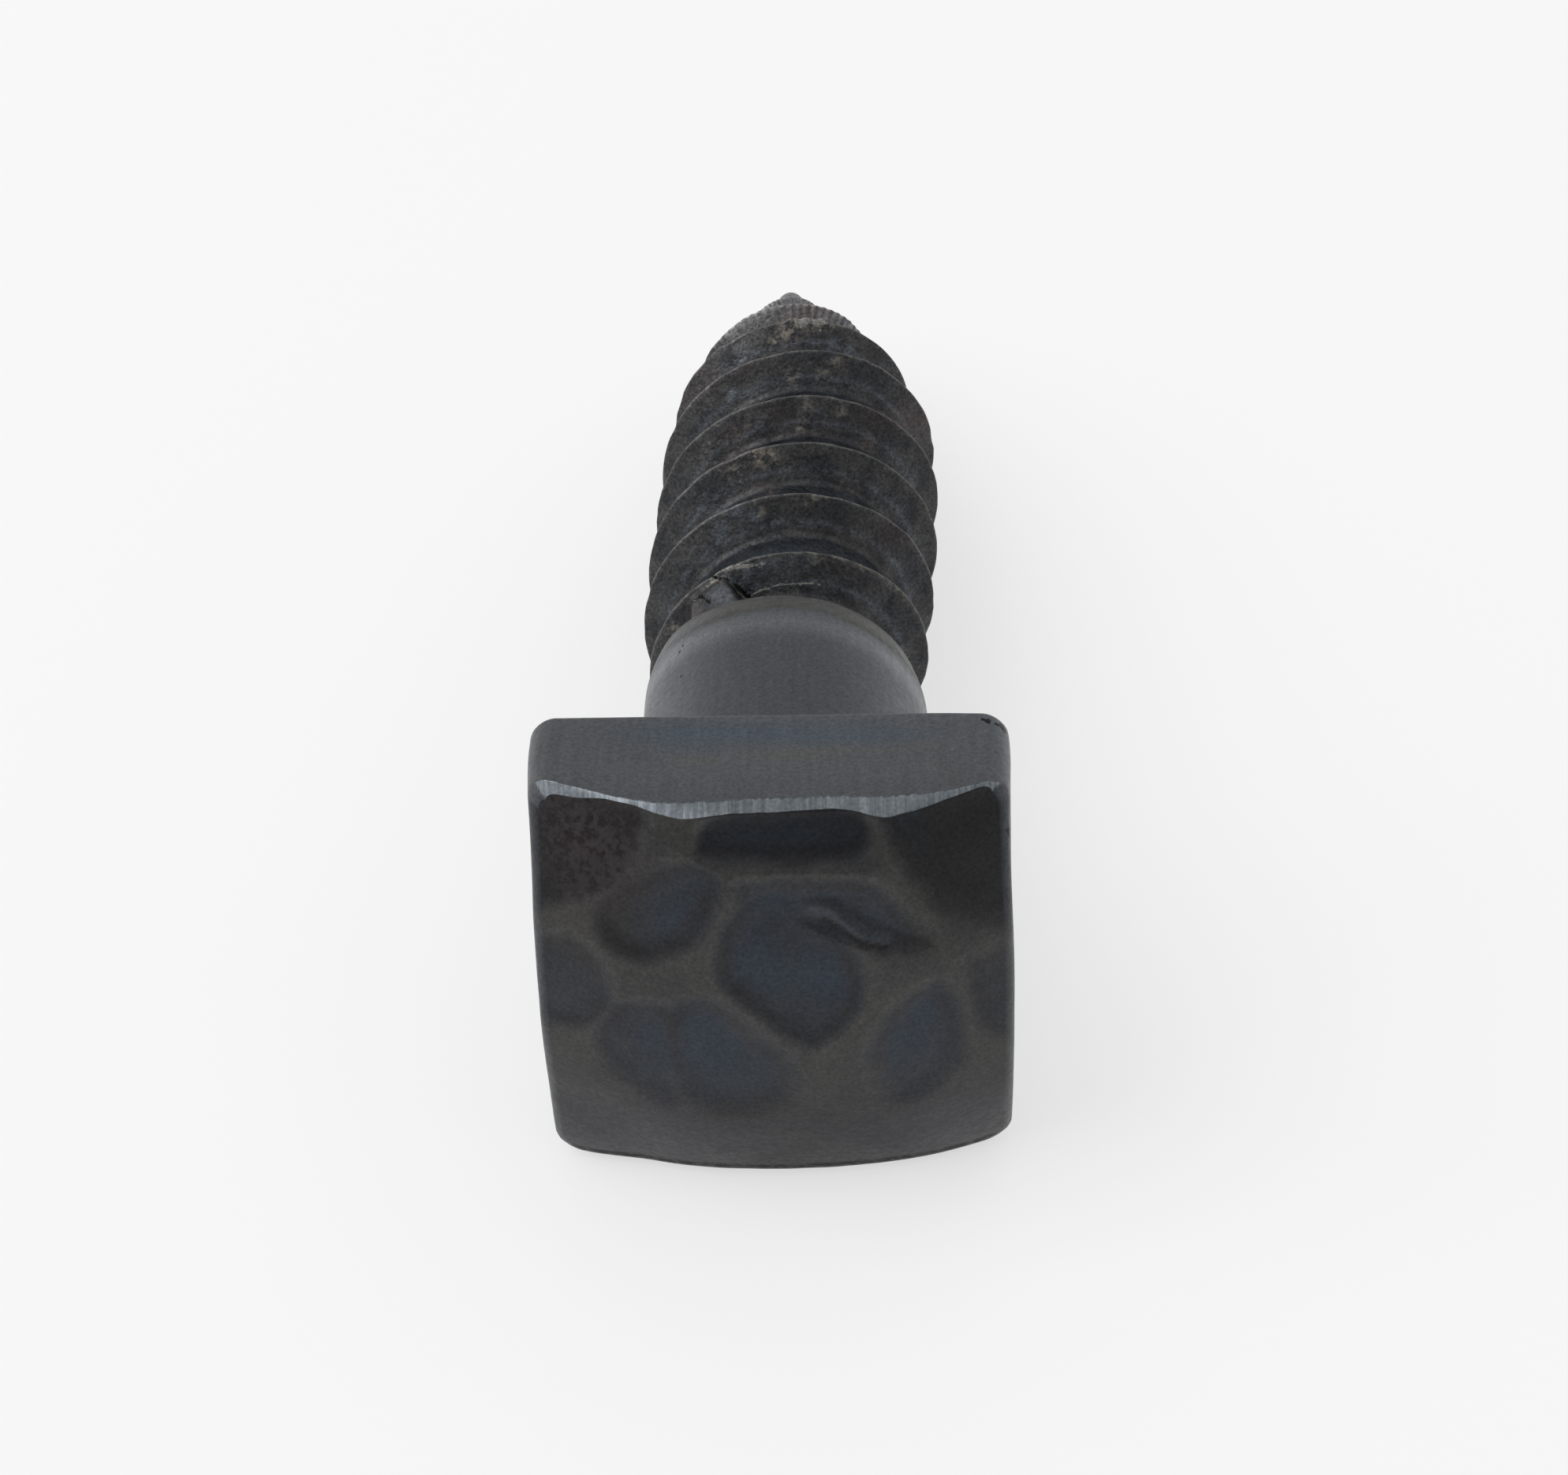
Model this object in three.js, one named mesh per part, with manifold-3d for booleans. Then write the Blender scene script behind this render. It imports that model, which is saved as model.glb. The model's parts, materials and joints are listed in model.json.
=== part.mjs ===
// Square-head lag screw (coach screw), half inch by two inches, with a hand-hammered crowned head.
// It is one steel forging: a bar headed hot, its thread and gimlet point rolled, its head peened.
// The screw is built about its own axis, +Y towards the point and y = 0 at the bearing face under
// the head, and is then laid down the way it lies on a table. All lengths are in millimetres.
import * as THREE from "three";
import { mergeVertices } from "three/addons/utils/BufferGeometryUtils.js";
import Module from "manifold-3d";

// Length and diameters
const LENGTH = 50;
const SHANK_RADIUS = 6.35;
const SHANK_END_RADIUS = 6.1;
const SHANK_LENGTH = 13.4;
const SHANK_SHOULDER = 1.8;

// Thread: right-handed, six turns to the inch
const PITCH = 25.4 / 6;
const CREST_RADIUS = 6.65;
const THREAD_DEPTH = 1.64;
const FLANK_ANGLE = THREE.MathUtils.degToRad(30);
const CREST_LAND = 0.14;
const FIRST_CREST = 12.2;
const FULL_CREST = 20;
const POINT_START = 33;
const POINT_CURVE = 1.6;
const POINT_NUB = 0.4;
const POINT_NUB_RADIUS = 0.3;
const THREAD_TURNS = 8.5;
const FADE_ANGLE = Math.PI;
const BURIED = 0.4;

// The thread stands slightly out of line with the head, as rolled screws often do
const BOW = 0.72;
const BOW_CENTRE = 33.5;
const BOW_SPREAD = 10.5;

// Head: a little off the shank's axis, because it was headed and hammered by hand
const HEAD_WIDTH = 19.4;
const HEAD_HEIGHT = 8.6;
const HEAD_CORNER = 1;
const HEAD_SHIFT = -0.27;
const CROWN_RADIUS = 23.3;
const CROWN_REACH = 15;

// Hammer marks on the crown: centre across and up the face, half width, half height, turn
const HAMMER_MARKS = [
  { across: -7.5, up: 7.4, width: 2.3, height: 2.6, turn: 0 },
  { across: -4.9, up: 5.2, width: 2.5, height: 2.1, turn: 15 },
  { across: 0.4, up: 8.6, width: 3.4, height: 1.2, turn: 3 },
  { across: 0.4, up: 3.2, width: 3.1, height: 3.6, turn: 0 },
  { across: 4.2, up: 5.0, width: 2.1, height: 1.2, turn: -25 },
  { across: 7.0, up: 5.4, width: 2.3, height: 3.7, turn: 0 },
  { across: -8.2, up: 1.3, width: 1.4, height: 2.4, turn: 0 },
  { across: -5.7, up: -1.4, width: 2.3, height: 2.4, turn: 20 },
  { across: -2.1, up: -2.3, width: 2.8, height: 2.8, turn: -20 },
  { across: 5.5, up: -1.6, width: 2.1, height: 3.4, turn: -20 },
];
const MARK_HOLLOW = 0.14;

// Facets round the turned pieces
const CORE_SIDES = 36;
const CROWN_SIDES = 48;
const MARK_SIDES = 18;

// How far the shank's core runs into the head
const CORE_OVERLAP = 2;

const blackenedSteel = new THREE.MeshStandardMaterial({
  name: "blackened_steel",
  color: 0x33363a,
  roughness: 0.55,
  metalness: 0.85,
});

const wasm = await Module();
wasm.setup();

function solidFrom(geometry) {
  const shape = geometry.clone();
  shape.deleteAttribute("normal");
  shape.deleteAttribute("uv");
  const merged = mergeVertices(shape, 1e-4);
  const solid = new wasm.Manifold(
    new wasm.Mesh({
      numProp: 3,
      vertProperties: merged.getAttribute("position").array,
      triVerts: new Uint32Array(merged.index.array),
    }),
  );
  if (solid.volume() < 0) throw new Error("a piece is inside out");
  return solid;
}

function geometryFrom(solid) {
  const mesh = solid.getMesh();
  const geometry = new THREE.BufferGeometry();
  geometry.setAttribute("position", new THREE.BufferAttribute(mesh.vertProperties, 3));
  geometry.setIndex(new THREE.BufferAttribute(mesh.triVerts, 1));
  return geometry;
}

function moveVertices(geometry, move) {
  const position = geometry.getAttribute("position");
  const point = new THREE.Vector3();
  for (let i = 0; i < position.count; i += 1) {
    point.fromBufferAttribute(position, i);
    move(point);
    position.setXYZ(i, point.x, point.y, point.z);
  }
  return geometry;
}

// How much of the full diameter is left at a place along the gimlet point
function pointFactor(y) {
  const along = THREE.MathUtils.clamp((y - POINT_START) / (LENGTH - POINT_START), 0, 1);
  return 1 - along ** POINT_CURVE;
}

// The first turn is rolled from the shank's own metal, so its crest starts lower
function crestRadius(y) {
  const grown = THREE.MathUtils.smoothstep(y, SHANK_LENGTH, FULL_CREST);
  return THREE.MathUtils.lerp(SHANK_END_RADIUS, CREST_RADIUS, grown) * pointFactor(y);
}

function threadDepth(y) {
  const runOut = 1 - THREE.MathUtils.smoothstep(y, POINT_START + 4, LENGTH);
  return THREAD_DEPTH * THREE.MathUtils.lerp(0.25, 1, runOut);
}

function rootRadius(y) {
  return Math.max(crestRadius(y) - threadDepth(y), POINT_NUB_RADIUS);
}

// Turned body: shank, rounded shoulder where the thread starts, thread root and gimlet point
function makeCore() {
  const profile = [
    new THREE.Vector2(0, -CORE_OVERLAP),
    new THREE.Vector2(SHANK_RADIUS, -CORE_OVERLAP),
  ];
  const shoulderSteps = 4;
  for (let i = 0; i <= shoulderSteps; i += 1) {
    const along = i / shoulderSteps;
    const drop = (SHANK_RADIUS - SHANK_END_RADIUS) * along ** 2;
    profile.push(
      new THREE.Vector2(SHANK_RADIUS - drop, SHANK_LENGTH - SHANK_SHOULDER * (1 - along)),
    );
  }
  const grooveFlank = (SHANK_END_RADIUS - rootRadius(SHANK_LENGTH)) * Math.tan(FLANK_ANGLE);
  const stations = [SHANK_LENGTH + grooveFlank, FULL_CREST];
  const pointSteps = 6;
  for (let i = 0; i <= pointSteps; i += 1) {
    stations.push(THREE.MathUtils.lerp(POINT_START, LENGTH - POINT_NUB, i / pointSteps));
  }
  for (const y of stations) {
    profile.push(new THREE.Vector2(rootRadius(y), y));
  }
  profile.push(new THREE.Vector2(0, LENGTH));
  return solidFrom(new THREE.LatheGeometry(profile, CORE_SIDES));
}

// Thread ridge: a straight tooth, extruded for the length of the thread, is wound round the core.
// In the straight tooth x runs across it from -1 to 1, y is 0 at the root and 1 at the crest, and
// z is the angle wound, counted clockwise from the top as seen from the head.
function makeThread() {
  const tooth = new THREE.Shape([
    new THREE.Vector2(-1, -BURIED / THREAD_DEPTH),
    new THREE.Vector2(1, -BURIED / THREAD_DEPTH),
    new THREE.Vector2(1, 1),
    new THREE.Vector2(-1, 1),
  ]);
  const windingAngle = THREAD_TURNS * 2 * Math.PI;
  const ridge = new THREE.ExtrudeGeometry(tooth, {
    depth: windingAngle,
    steps: THREAD_TURNS * CORE_SIDES,
    bevelEnabled: false,
  });
  moveVertices(ridge, (point) => {
    const centre = FIRST_CREST + (PITCH * point.z) / (2 * Math.PI);
    const fade = Math.min(1, (windingAngle - point.z) / FADE_ANGLE);
    const depth = threadDepth(centre) * fade;
    const halfWidth = CREST_LAND / 2 + (1 - point.y) * depth * Math.tan(FLANK_ANGLE);
    const radius = rootRadius(centre) + point.y * (point.y < 0 ? THREAD_DEPTH : depth);
    const angle = point.z;
    point.set(radius * Math.sin(angle), centre + point.x * halfWidth, radius * Math.cos(angle));
  });
  return solidFrom(ridge);
}

// Square head with rounded edges, standing from the bearing face towards -Y
function makeHeadBlock() {
  const half = HEAD_WIDTH / 2;
  const square = new THREE.Shape();
  square.moveTo(half, -half + HEAD_CORNER);
  square.lineTo(half, half - HEAD_CORNER);
  square.absarc(half - HEAD_CORNER, half - HEAD_CORNER, HEAD_CORNER, 0, Math.PI / 2);
  square.absarc(-half + HEAD_CORNER, half - HEAD_CORNER, HEAD_CORNER, Math.PI / 2, Math.PI);
  square.absarc(-half + HEAD_CORNER, -half + HEAD_CORNER, HEAD_CORNER, Math.PI, 1.5 * Math.PI);
  square.absarc(half - HEAD_CORNER, -half + HEAD_CORNER, HEAD_CORNER, 1.5 * Math.PI, 2 * Math.PI);
  const block = new THREE.ExtrudeGeometry(square, {
    depth: HEAD_HEIGHT + 1,
    steps: 1,
    curveSegments: 4,
    bevelEnabled: false,
  });
  block.rotateX(Math.PI / 2);
  return solidFrom(block.translate(HEAD_SHIFT, 0, 0));
}

// Solid ball cap that trims the head's outer end to its crown
function makeCrown() {
  const arcSteps = 12;
  const widest = Math.asin(CROWN_REACH / CROWN_RADIUS);
  const profile = [];
  for (let i = 0; i <= arcSteps; i += 1) {
    const angle = (widest * i) / arcSteps;
    profile.push(
      new THREE.Vector2(
        CROWN_RADIUS * Math.sin(angle),
        CROWN_RADIUS * (1 - Math.cos(angle)) - HEAD_HEIGHT,
      ),
    );
  }
  profile.push(new THREE.Vector2(CROWN_REACH, 1), new THREE.Vector2(0, 1));
  return solidFrom(new THREE.LatheGeometry(profile, CROWN_SIDES));
}

// Shallow oval bowl left by one hammer blow, cut into the crown along its own normal
function makeHammerMark(mark) {
  const cutterHeight = 1;
  const cutterRim = 1.1;
  const arcSteps = 3;
  const profile = [];
  for (let i = 0; i <= arcSteps; i += 1) {
    const out = i / arcSteps;
    profile.push(new THREE.Vector2(out, MARK_HOLLOW * (out ** 2 - 1)));
  }
  profile.push(new THREE.Vector2(cutterRim, cutterHeight), new THREE.Vector2(0, cutterHeight));
  const bowl = new THREE.LatheGeometry(profile, MARK_SIDES);
  const size = (mark.width + mark.height) / 2;
  const sink = size ** 2 / (2 * CROWN_RADIUS);
  bowl.scale(mark.width, 1, mark.height);
  bowl.rotateY(THREE.MathUtils.degToRad(mark.turn));
  bowl.translate(0, -sink, 0);
  bowl.rotateX(Math.PI);
  const outwards = new THREE.Vector3(mark.across, 0, mark.up);
  outwards.y = -Math.sqrt(CROWN_RADIUS ** 2 - outwards.lengthSq());
  const tilt = new THREE.Quaternion().setFromUnitVectors(
    new THREE.Vector3(0, -1, 0),
    outwards.clone().normalize(),
  );
  bowl.applyQuaternion(tilt);
  bowl.translate(outwards.x, outwards.y + CROWN_RADIUS - HEAD_HEIGHT, outwards.z);
  return solidFrom(bowl);
}

function makeHead() {
  let head = makeHeadBlock().intersect(makeCrown());
  for (const mark of HAMMER_MARKS) {
    head = head.subtract(makeHammerMark(mark));
  }
  return head;
}

function makeScrew() {
  const solid = makeCore().add(makeThread()).add(makeHead());
  const geometry = moveVertices(geometryFrom(solid), (point) => {
    point.x += BOW * Math.exp(-(((point.y - BOW_CENTRE) / BOW_SPREAD) ** 2));
  });
  geometry.computeVertexNormals();
  const screw = new THREE.Mesh(geometry, blackenedSteel);
  screw.name = "lag_screw";
  return screw;
}

// The angle by which the point drops until a crest touches what the head's edge rests on
function restingTilt(geometry) {
  const position = geometry.getAttribute("position");
  let tilt = Math.PI / 2;
  for (let i = 0; i < position.count; i += 1) {
    if (position.getY(i) > SHANK_LENGTH) {
      const gap = position.getZ(i) + HEAD_WIDTH / 2;
      tilt = Math.min(tilt, Math.atan2(gap, position.getY(i)));
    }
  }
  return tilt;
}

const screw = makeScrew();
const lying = new THREE.Group();
lying.add(screw);
lying.rotation.x = -restingTilt(screw.geometry);

// The origin is under the middle of the screw's box, on the surface it lies on
const box = new THREE.Box3().setFromObject(lying, true);
const middle = box.getCenter(new THREE.Vector3());
lying.position.set(-middle.x, -middle.y, -box.min.z);

const part = new THREE.Group();
part.name = "square_head_lag_screw";
part.add(lying);

export default part;
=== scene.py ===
"""Looks of a blackened square-head lag screw, lying on its side on a pale table.

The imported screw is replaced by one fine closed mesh. It is worked out in the screw's own frame, in
millimetres: x across, y along the axis with 0 at the bearing face and the point at +y, and z up.
An angle round the axis is 0 at the top and grows towards +x.
"""
import functools
import itertools
import json
import math

import bmesh
import bpy
import numpy as np
from mathutils import Matrix, Vector


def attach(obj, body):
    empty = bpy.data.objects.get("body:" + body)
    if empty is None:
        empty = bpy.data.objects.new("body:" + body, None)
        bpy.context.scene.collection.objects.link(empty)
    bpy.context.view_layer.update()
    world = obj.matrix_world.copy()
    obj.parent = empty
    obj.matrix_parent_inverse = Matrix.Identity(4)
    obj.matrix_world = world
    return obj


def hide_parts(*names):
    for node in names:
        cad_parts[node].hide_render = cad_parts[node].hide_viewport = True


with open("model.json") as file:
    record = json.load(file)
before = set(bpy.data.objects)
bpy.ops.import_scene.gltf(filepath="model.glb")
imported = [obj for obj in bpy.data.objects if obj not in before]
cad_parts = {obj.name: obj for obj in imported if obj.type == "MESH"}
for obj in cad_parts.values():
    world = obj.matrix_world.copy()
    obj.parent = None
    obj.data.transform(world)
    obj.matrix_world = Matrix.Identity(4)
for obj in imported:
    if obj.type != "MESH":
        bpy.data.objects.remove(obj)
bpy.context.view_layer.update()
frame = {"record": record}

MM = 0.001
TURN = 2 * math.pi

# The frame's bearing_face mount stands this far to the right of the screw's axis
BEARING_MOUNT_ACROSS = 8.0

# Shank and thread, as in the CAD part
LENGTH = 50.0
SHANK_RADIUS = 6.35
SHANK_END_RADIUS = 6.1
SHANK_END = 13.4
SHOULDER = 1.4
FILLET = 0.45
PITCH = 25.4 / 6
CREST_RADIUS = 6.65
THREAD_DEPTH = 1.64
FLANK_SLOPE = math.tan(math.radians(30))
CREST_LAND = 0.08
FIRST_CREST = 12.2
FULL_CREST = 20.0
POINT_START = 33.0
POINT_CURVE = 1.6
NUB_START = 47.6
NUB_RADIUS = 0.95

# The threaded surface leaves the shank's end within this length
THREAD_RAMP = 0.5

# The last turn has fine ribs round it and is paler than the rest
RIBS = 64
RIB_HEIGHT = 0.02
RIB_TONE = 0.3
LAST_TURN = 40.9
LAST_TURN_TONE = 2.6

# The thread stands prouder on its left side: places along, gain in radius
SWELL_PLACES = [14, 24, 30, 41, 44, 46, 48, 49.5]
SWELL_GAINS = [0, 0.1, 0.2, 0.27, 0.1, -0.4, -0.5, 0]

# The thread stands slightly out of line with the head
BOW = 0.72
BOW_CENTRE = 33.5
BOW_SPREAD = 10.5

# Head: its middle stands a little to the left of the shank's axis, and leans. FACE_EDGE is where
# the face's edge lies along the screw, and a high EDGE_PULL draws in only the outermost cells.
HEAD_HALF = 9.7
HEAD_HEIGHT = 8.6
HEAD_CORNER = 1.1
HEAD_SHIFT = -0.27
HEAD_LEAN = -0.0133
CROWN_RADIUS = 23.3
REAR_ROUND = 0.3
REAR_ROUND_SIDES = 0.42
EDGE_ROUND = 0.42
EDGE_PULL = 10
FACE_EDGE = -5.5

# Ground band along the top front edge: places across, its share of the face, its share of the top
BAND_PLACES = [-9.3, -7.8, -6.5, -5.5, -4.6, -3.5, -2.5, -1.5, 0, 1.2, 2.5, 3.6, 4.8, 5.9, 7.2, 8.6]
BAND_ON_FACE = [0.5, 0.36, 0.12, 0.12, 0.26, 0.4, 0.28, 0.14, 0.1, 0.1, 0.12, 0.3, 0.56, 0.5, 0.25, 0.1]
BAND_ON_TOP = [0.08, 0.16, 0.1, 0.12, 0.18, 0.38, 0.55, 0.68, 0.75, 0.66, 0.62, 0.56, 0.4, 0.26, 0.12, 0.05]

# How bright the band is, at places across
BAND_TONE_PLACES = [-9.3, -6, -1, 9]
BAND_TONES = [1.5, 1.1, 0.82, 1.05]

# Mesh density: columns round the shank and round the head, then rows from the face to the point
COLUMNS = 256
HEAD_COLUMNS = 2 * COLUMNS
SIDE_CELLS = HEAD_COLUMNS // 4
EDGE_STEPS = (0.0, 0.07, 0.22, 0.5, 0.78, 0.93, 1.0)
SIDE_ROWS = 14
UNDERSIDE_ROWS = 7
SHANK_ROWS = 22
NUB_ROWS = 12

# Points nearer to each other than this are joined
WELD = 0.002

# Cells along each side of a random table
NOISE_TABLE = 32

# Points on a mark's outline for each one that is given
CURVE_STEPS = 7

# Hammer marks on the crown: depth, width of the sloping wall, painted light and shade as a factor on
# brightness, outline as (across, up) points
MARKS = [
    (0.27, 1.1, 0.72, [
        (-10.8, 9.9), (-8, 9.75), (-6.3, 9.7), (-5.2, 9.3), (-5.3, 8.3), (-5.8, 7.2), (-6.5, 6.2),
        (-7.6, 5.5), (-9.3, 4.7), (-11, 4.4)]),
    (0.36, 1.3, 1, [
        (-7.55, 4.6), (-7.2, 5.5), (-6.2, 6.4), (-4.9, 7.2), (-3.6, 7.7), (-2.6, 7.5), (-2.15, 6.9),
        (-2.3, 6), (-2.8, 4.8), (-3.4, 3.9), (-4.2, 3.4), (-5.2, 3), (-6.4, 3.15), (-7.2, 3.7)]),
    (0.42, 0.9, 0.62, [
        (-3.3, 7.95), (-3.25, 8.55), (-2.85, 9.15), (-1.9, 9.55), (-0.4, 9.8), (1.2, 9.95), (2.8, 9.8),
        (3.6, 9.1), (3.7, 8.1), (3.15, 7.45), (1.6, 7.35), (-0.5, 7.4), (-2.2, 7.45), (-2.8, 7.55)]),
    (0.46, 1.5, 0.95, [
        (-1.8, 6), (-0.8, 6.9), (0.6, 6.6), (2, 4.95), (3.1, 3.6), (3.45, 2.3), (3.1, 0.8),
        (2.2, -0.4), (1.2, -1.15), (0.2, -0.5), (-0.9, 0.6), (-2.2, 1.7), (-2.7, 3), (-2.5, 4.5)]),
    (0.14, 0.5, 1.05, [
        (0.4, 0.9), (1.2, 1.1), (2, 0.7), (2.2, 0), (1.2, -0.9), (0.5, 0)]),
    (0.42, 1.1, 1.05, [
        (-1.7, 6.8), (-0.5, 7.1), (0.9, 7.1), (2.3, 6.95), (3.7, 6.6), (4.6, 5.9), (5.3, 4.9),
        (5.95, 4.1), (5.85, 3.65), (5.1, 3.5), (4.2, 3.65), (3.3, 4.05), (2.5, 4.7), (1.75, 5.15),
        (0.9, 4.2), (-0.6, 4), (-1.7, 4.9)]),
    (0.24, 2, 0.76, [
        (3.9, 9.9), (4.3, 8.2), (4.8, 7), (5.6, 5.8), (6.4, 5), (7.4, 4.3), (8.8, 3.7), (11, 3.4),
        (11, 9.9), (7, 10.1)]),
    (0.28, 1.1, 1, [
        (-8.5, 3.7), (-7.5, 3.3), (-6.95, 2.2), (-6.8, 1), (-7.1, 0), (-7.8, -0.9), (-9, -1.2),
        (-10.3, -0.8), (-10.8, 1.2), (-10, 3.2)]),
    (0.4, 1.5, 1, [
        (-3.4, 1.75), (-2.2, 1.3), (-1, 0.1), (0.1, -1.1), (0.65, -2.5), (0.3, -3.9), (-0.9, -4.8),
        (-2.5, -5.1), (-3.8, -4.6), (-4.7, -3.2), (-5, -1.2), (-4.6, 0.8)]),
    (0.26, 1.3, 0.97, [
        (-6.6, 0.9), (-5.3, 1.2), (-4.3, 0.9), (-3.8, -1), (-3.6, -3.5), (-4.6, -4.8), (-6.2, -4.1),
        (-7.3, -2.9), (-7.75, -1.6), (-7.4, -0.3)]),
    (0.34, 1.5, 1, [
        (6.2, 2), (6.9, 1.2), (7.3, -0.2), (7.6, -2), (7.1, -3.6), (6.1, -4.6), (5, -5),
        (4, -4.3), (3.5, -2.9), (3.4, -1.3), (3.9, 0.3), (5, 1.5)]),
    (0.16, 1.4, 0.95, [
        (7.3, 2.4), (8.2, 2.8), (10.8, 2.8), (10.8, -2), (9, -2.2), (8, -1.2)]),
    (0.05, 2.5, 0.95, [
        (3.4, -5.2), (5.2, -5.4), (6.2, -6.6), (5.6, -8.2), (4, -8.4), (3, -7)]),
]

# Pits and nicks, seen only as dark spots: centre (across, along, up), radius
NICKS = [
    ((8.22, -0.67, 9.68), 0.14), ((8.41, -0.8, 9.66), 0.17), ((8.73, -0.8, 9.5), 0.18),
    ((8.98, -0.8, 9.24), 0.32), ((9.2, -5, 7.36), 0.26), ((-4.4, 11.85, 4.57), 0.1),
    ((-4.55, 11.6, 4.43), 0.1), ((-4.4, 9.61, 4.57), 0.12),
]

# A lapped fold between two hammer marks: its slit, the seam it lies on and the lip above it, painted bright
# as a highlight
FOLD_SLIT = [(1.72, 5.12), (2.28, 4.8), (2.9, 4.36), (3.5, 3.98), (4.2, 3.74)]
FOLD_SEAM = [(-0.8, 5.9), (1.2, 5.35), (2.8, 4.75), (4.6, 4.2)]
FOLD_LIP = [(1.3, 5.6), (2, 5.3), (2.7, 4.85), (3.4, 4.4), (4.2, 4.15)]

# Lumps and hollows on the thread: degrees, along, radius, height
LUMPS = [
    (5, 28.95, 0.2, 0.24), (3.8, 28.65, 0.22, 0.28), (2.3, 28.35, 0.24, 0.26),
    (8.7, 28.8, 0.18, 0.14), (6.5, 28.4, 0.26, -0.26), (-41, 28.1, 0.48, 0.16),
    (-41.5, 27.75, 0.35, -0.12), (-30, 28.5, 0.38, 0.1), (-16, 28.45, 0.42, 0.18),
    (-12, 28.2, 0.3, -0.14), (-24.5, 24.35, 0.45, -0.14), (-13, 24.4, 0.35, 0.14),
    (-10.3, 20.2, 0.2, 0.14), (-22.7, 19.95, 0.28, -0.14), (-18.5, 20, 0.22, 0.1),
    (9.3, 20.6, 0.22, 0.08), (15, 33.25, 0.3, 0.1), (-35, 32.4, 0.35, 0.08),
    (-3, 37.55, 0.28, 0.18), (4, 37.62, 0.28, 0.18), (11, 37.7, 0.28, 0.18),
    (4, 37.3, 0.24, -0.26), (10, 37.38, 0.24, -0.28), (16, 37.48, 0.24, -0.24),
    (-6, 37.15, 0.35, 0.12), (-18, 37, 0.4, 0.1), (26, 37.7, 0.3, 0.1),
    (24, 41.6, 0.35, 0.12), (-11, 41.3, 0.3, -0.1), (-2, 41.5, 0.35, 0.1),
    (55, 21.2, 0.4, 0.06), (140, 22.5, 0.5, 0.12), (200, 27, 0.45, -0.12),
    (165, 31, 0.4, 0.1), (110, 34, 0.35, 0.1), (235, 19, 0.45, 0.1),
    (250, 33.5, 0.4, -0.1),
]

# Cracks are this much wider in the mesh, and painted lines reach this deep into the metal
CRACK_SPREAD = 0.05
LINE_REACH = 0.5

# Cracks in the torn metal of the first groove: from and to, as (degrees, along), half width, depth
CRACKS = [
    ((-32, 16.1), (-29, 15.98), 0.05, 0.08), ((-30.5, 16), (-24.5, 15.85), 0.07, 0.14),
    ((-25.5, 15.95), (-19, 15.45), 0.11, 0.24), ((-28, 15.6), (-23, 15.3), 0.04, 0.08),
    ((-40.5, 15.65), (-37, 15.25), 0.07, 0.16), ((-37.5, 15.3), (-34, 14.65), 0.08, 0.2),
]

# Bright worn lines on the thread: from and to, as (degrees, along), half width
BRIGHT_LINES = [
    ((-19.5, 15.47), (-7.5, 15.63), 0.035), ((-8, 15.62), (4.5, 15.75), 0.035),
    ((4, 15.75), (15, 15.9), 0.03), ((-2, 37.48), (7, 37.58), 0.14),
    ((6, 37.57), (14, 37.66), 0.11), ((-26, 16.1), (-11, 16.1), 0.07),
    ((-43, 15.6), (-38.5, 15.2), 0.04),
]

# Polished, rusted and worn places on the thread: degrees, along, radius
POLISHED = [
    (-26.5, 14.4, 0.55), (-30, 14.9, 0.5), (-23, 14.7, 0.4), (-24, 15.85, 0.28),
    (-17, 15.95, 0.28), (-10, 16.08, 0.28), (-3, 16.17, 0.28), (4, 16.25, 0.26),
    (10, 16.33, 0.24), (-28, 20.1, 0.3), (-22, 20.3, 0.35), (-14, 20.1, 0.3), (31, 37.3, 0.3),
    (19.5, 37.2, 0.3), (-28.5, 36.7, 0.22), (-35, 32.4, 0.3), (-16, 28.4, 0.3), (8.7, 28.8, 0.2),
    (-31, 19.8, 0.3), (170, 30, 0.9), (120, 22, 0.8), (225, 35, 0.8),
]
RUSTED = [
    (-48, 14.9, 0.7), (-52, 14.6, 0.5), (-44, 14.8, 0.5), (-22, 23.87, 0.35), (-8, 23.55, 0.45),
    (-14, 23.7, 0.35), (-4, 37.1, 0.5), (38, 28.9, 0.5), (69, 33.6, 0.8), (60, 33.3, 0.6),
    (-12, 24.5, 0.6), (-30, 28.2, 0.4), (150, 26, 1.5), (205, 20, 1.2), (120, 36, 1.4),
    (240, 31, 1.3), (-70, 18.6, 0.5), (30, 24.4, 0.5),
]
WORN = [
    (-6, 37.25, 0.45), (-3, 37.5, 0.4), (2, 37.62, 0.35), (6, 37.7, 0.35), (10, 37.75, 0.35),
    (15, 37.8, 0.3), (-14, 36.9, 0.3), (5.1, 28.93, 0.2), (4.2, 28.75, 0.2), (3.2, 28.55, 0.2),
    (2.3, 28.38, 0.24), (14.7, 16.5, 0.25), (-59, 15.4, 0.3), (-43.9, 28.33, 0.16), (9.3, 20.64, 0.28),
    (5, 20.7, 0.2), (-10.3, 20.2, 0.16), (15.3, 33.28, 0.3), (-12.3, 24.53, 0.4), (-8, 24.55, 0.3),
    (-25.6, 24.19, 0.4), (-22, 24.2, 0.2), (-16, 24.6, 0.3), (-23, 15.45, 0.25),
    (-28, 15.7, 0.25), (-33, 15.9, 0.25), (18.6, 29.25, 0.2), (20, 29, 0.2), (-22, 28.55, 0.2),
    (-4, 32.7, 0.3), (10, 32.9, 0.25), (100, 24, 0.35), (215, 33, 0.4), (185, 37, 0.35),
]

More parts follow.
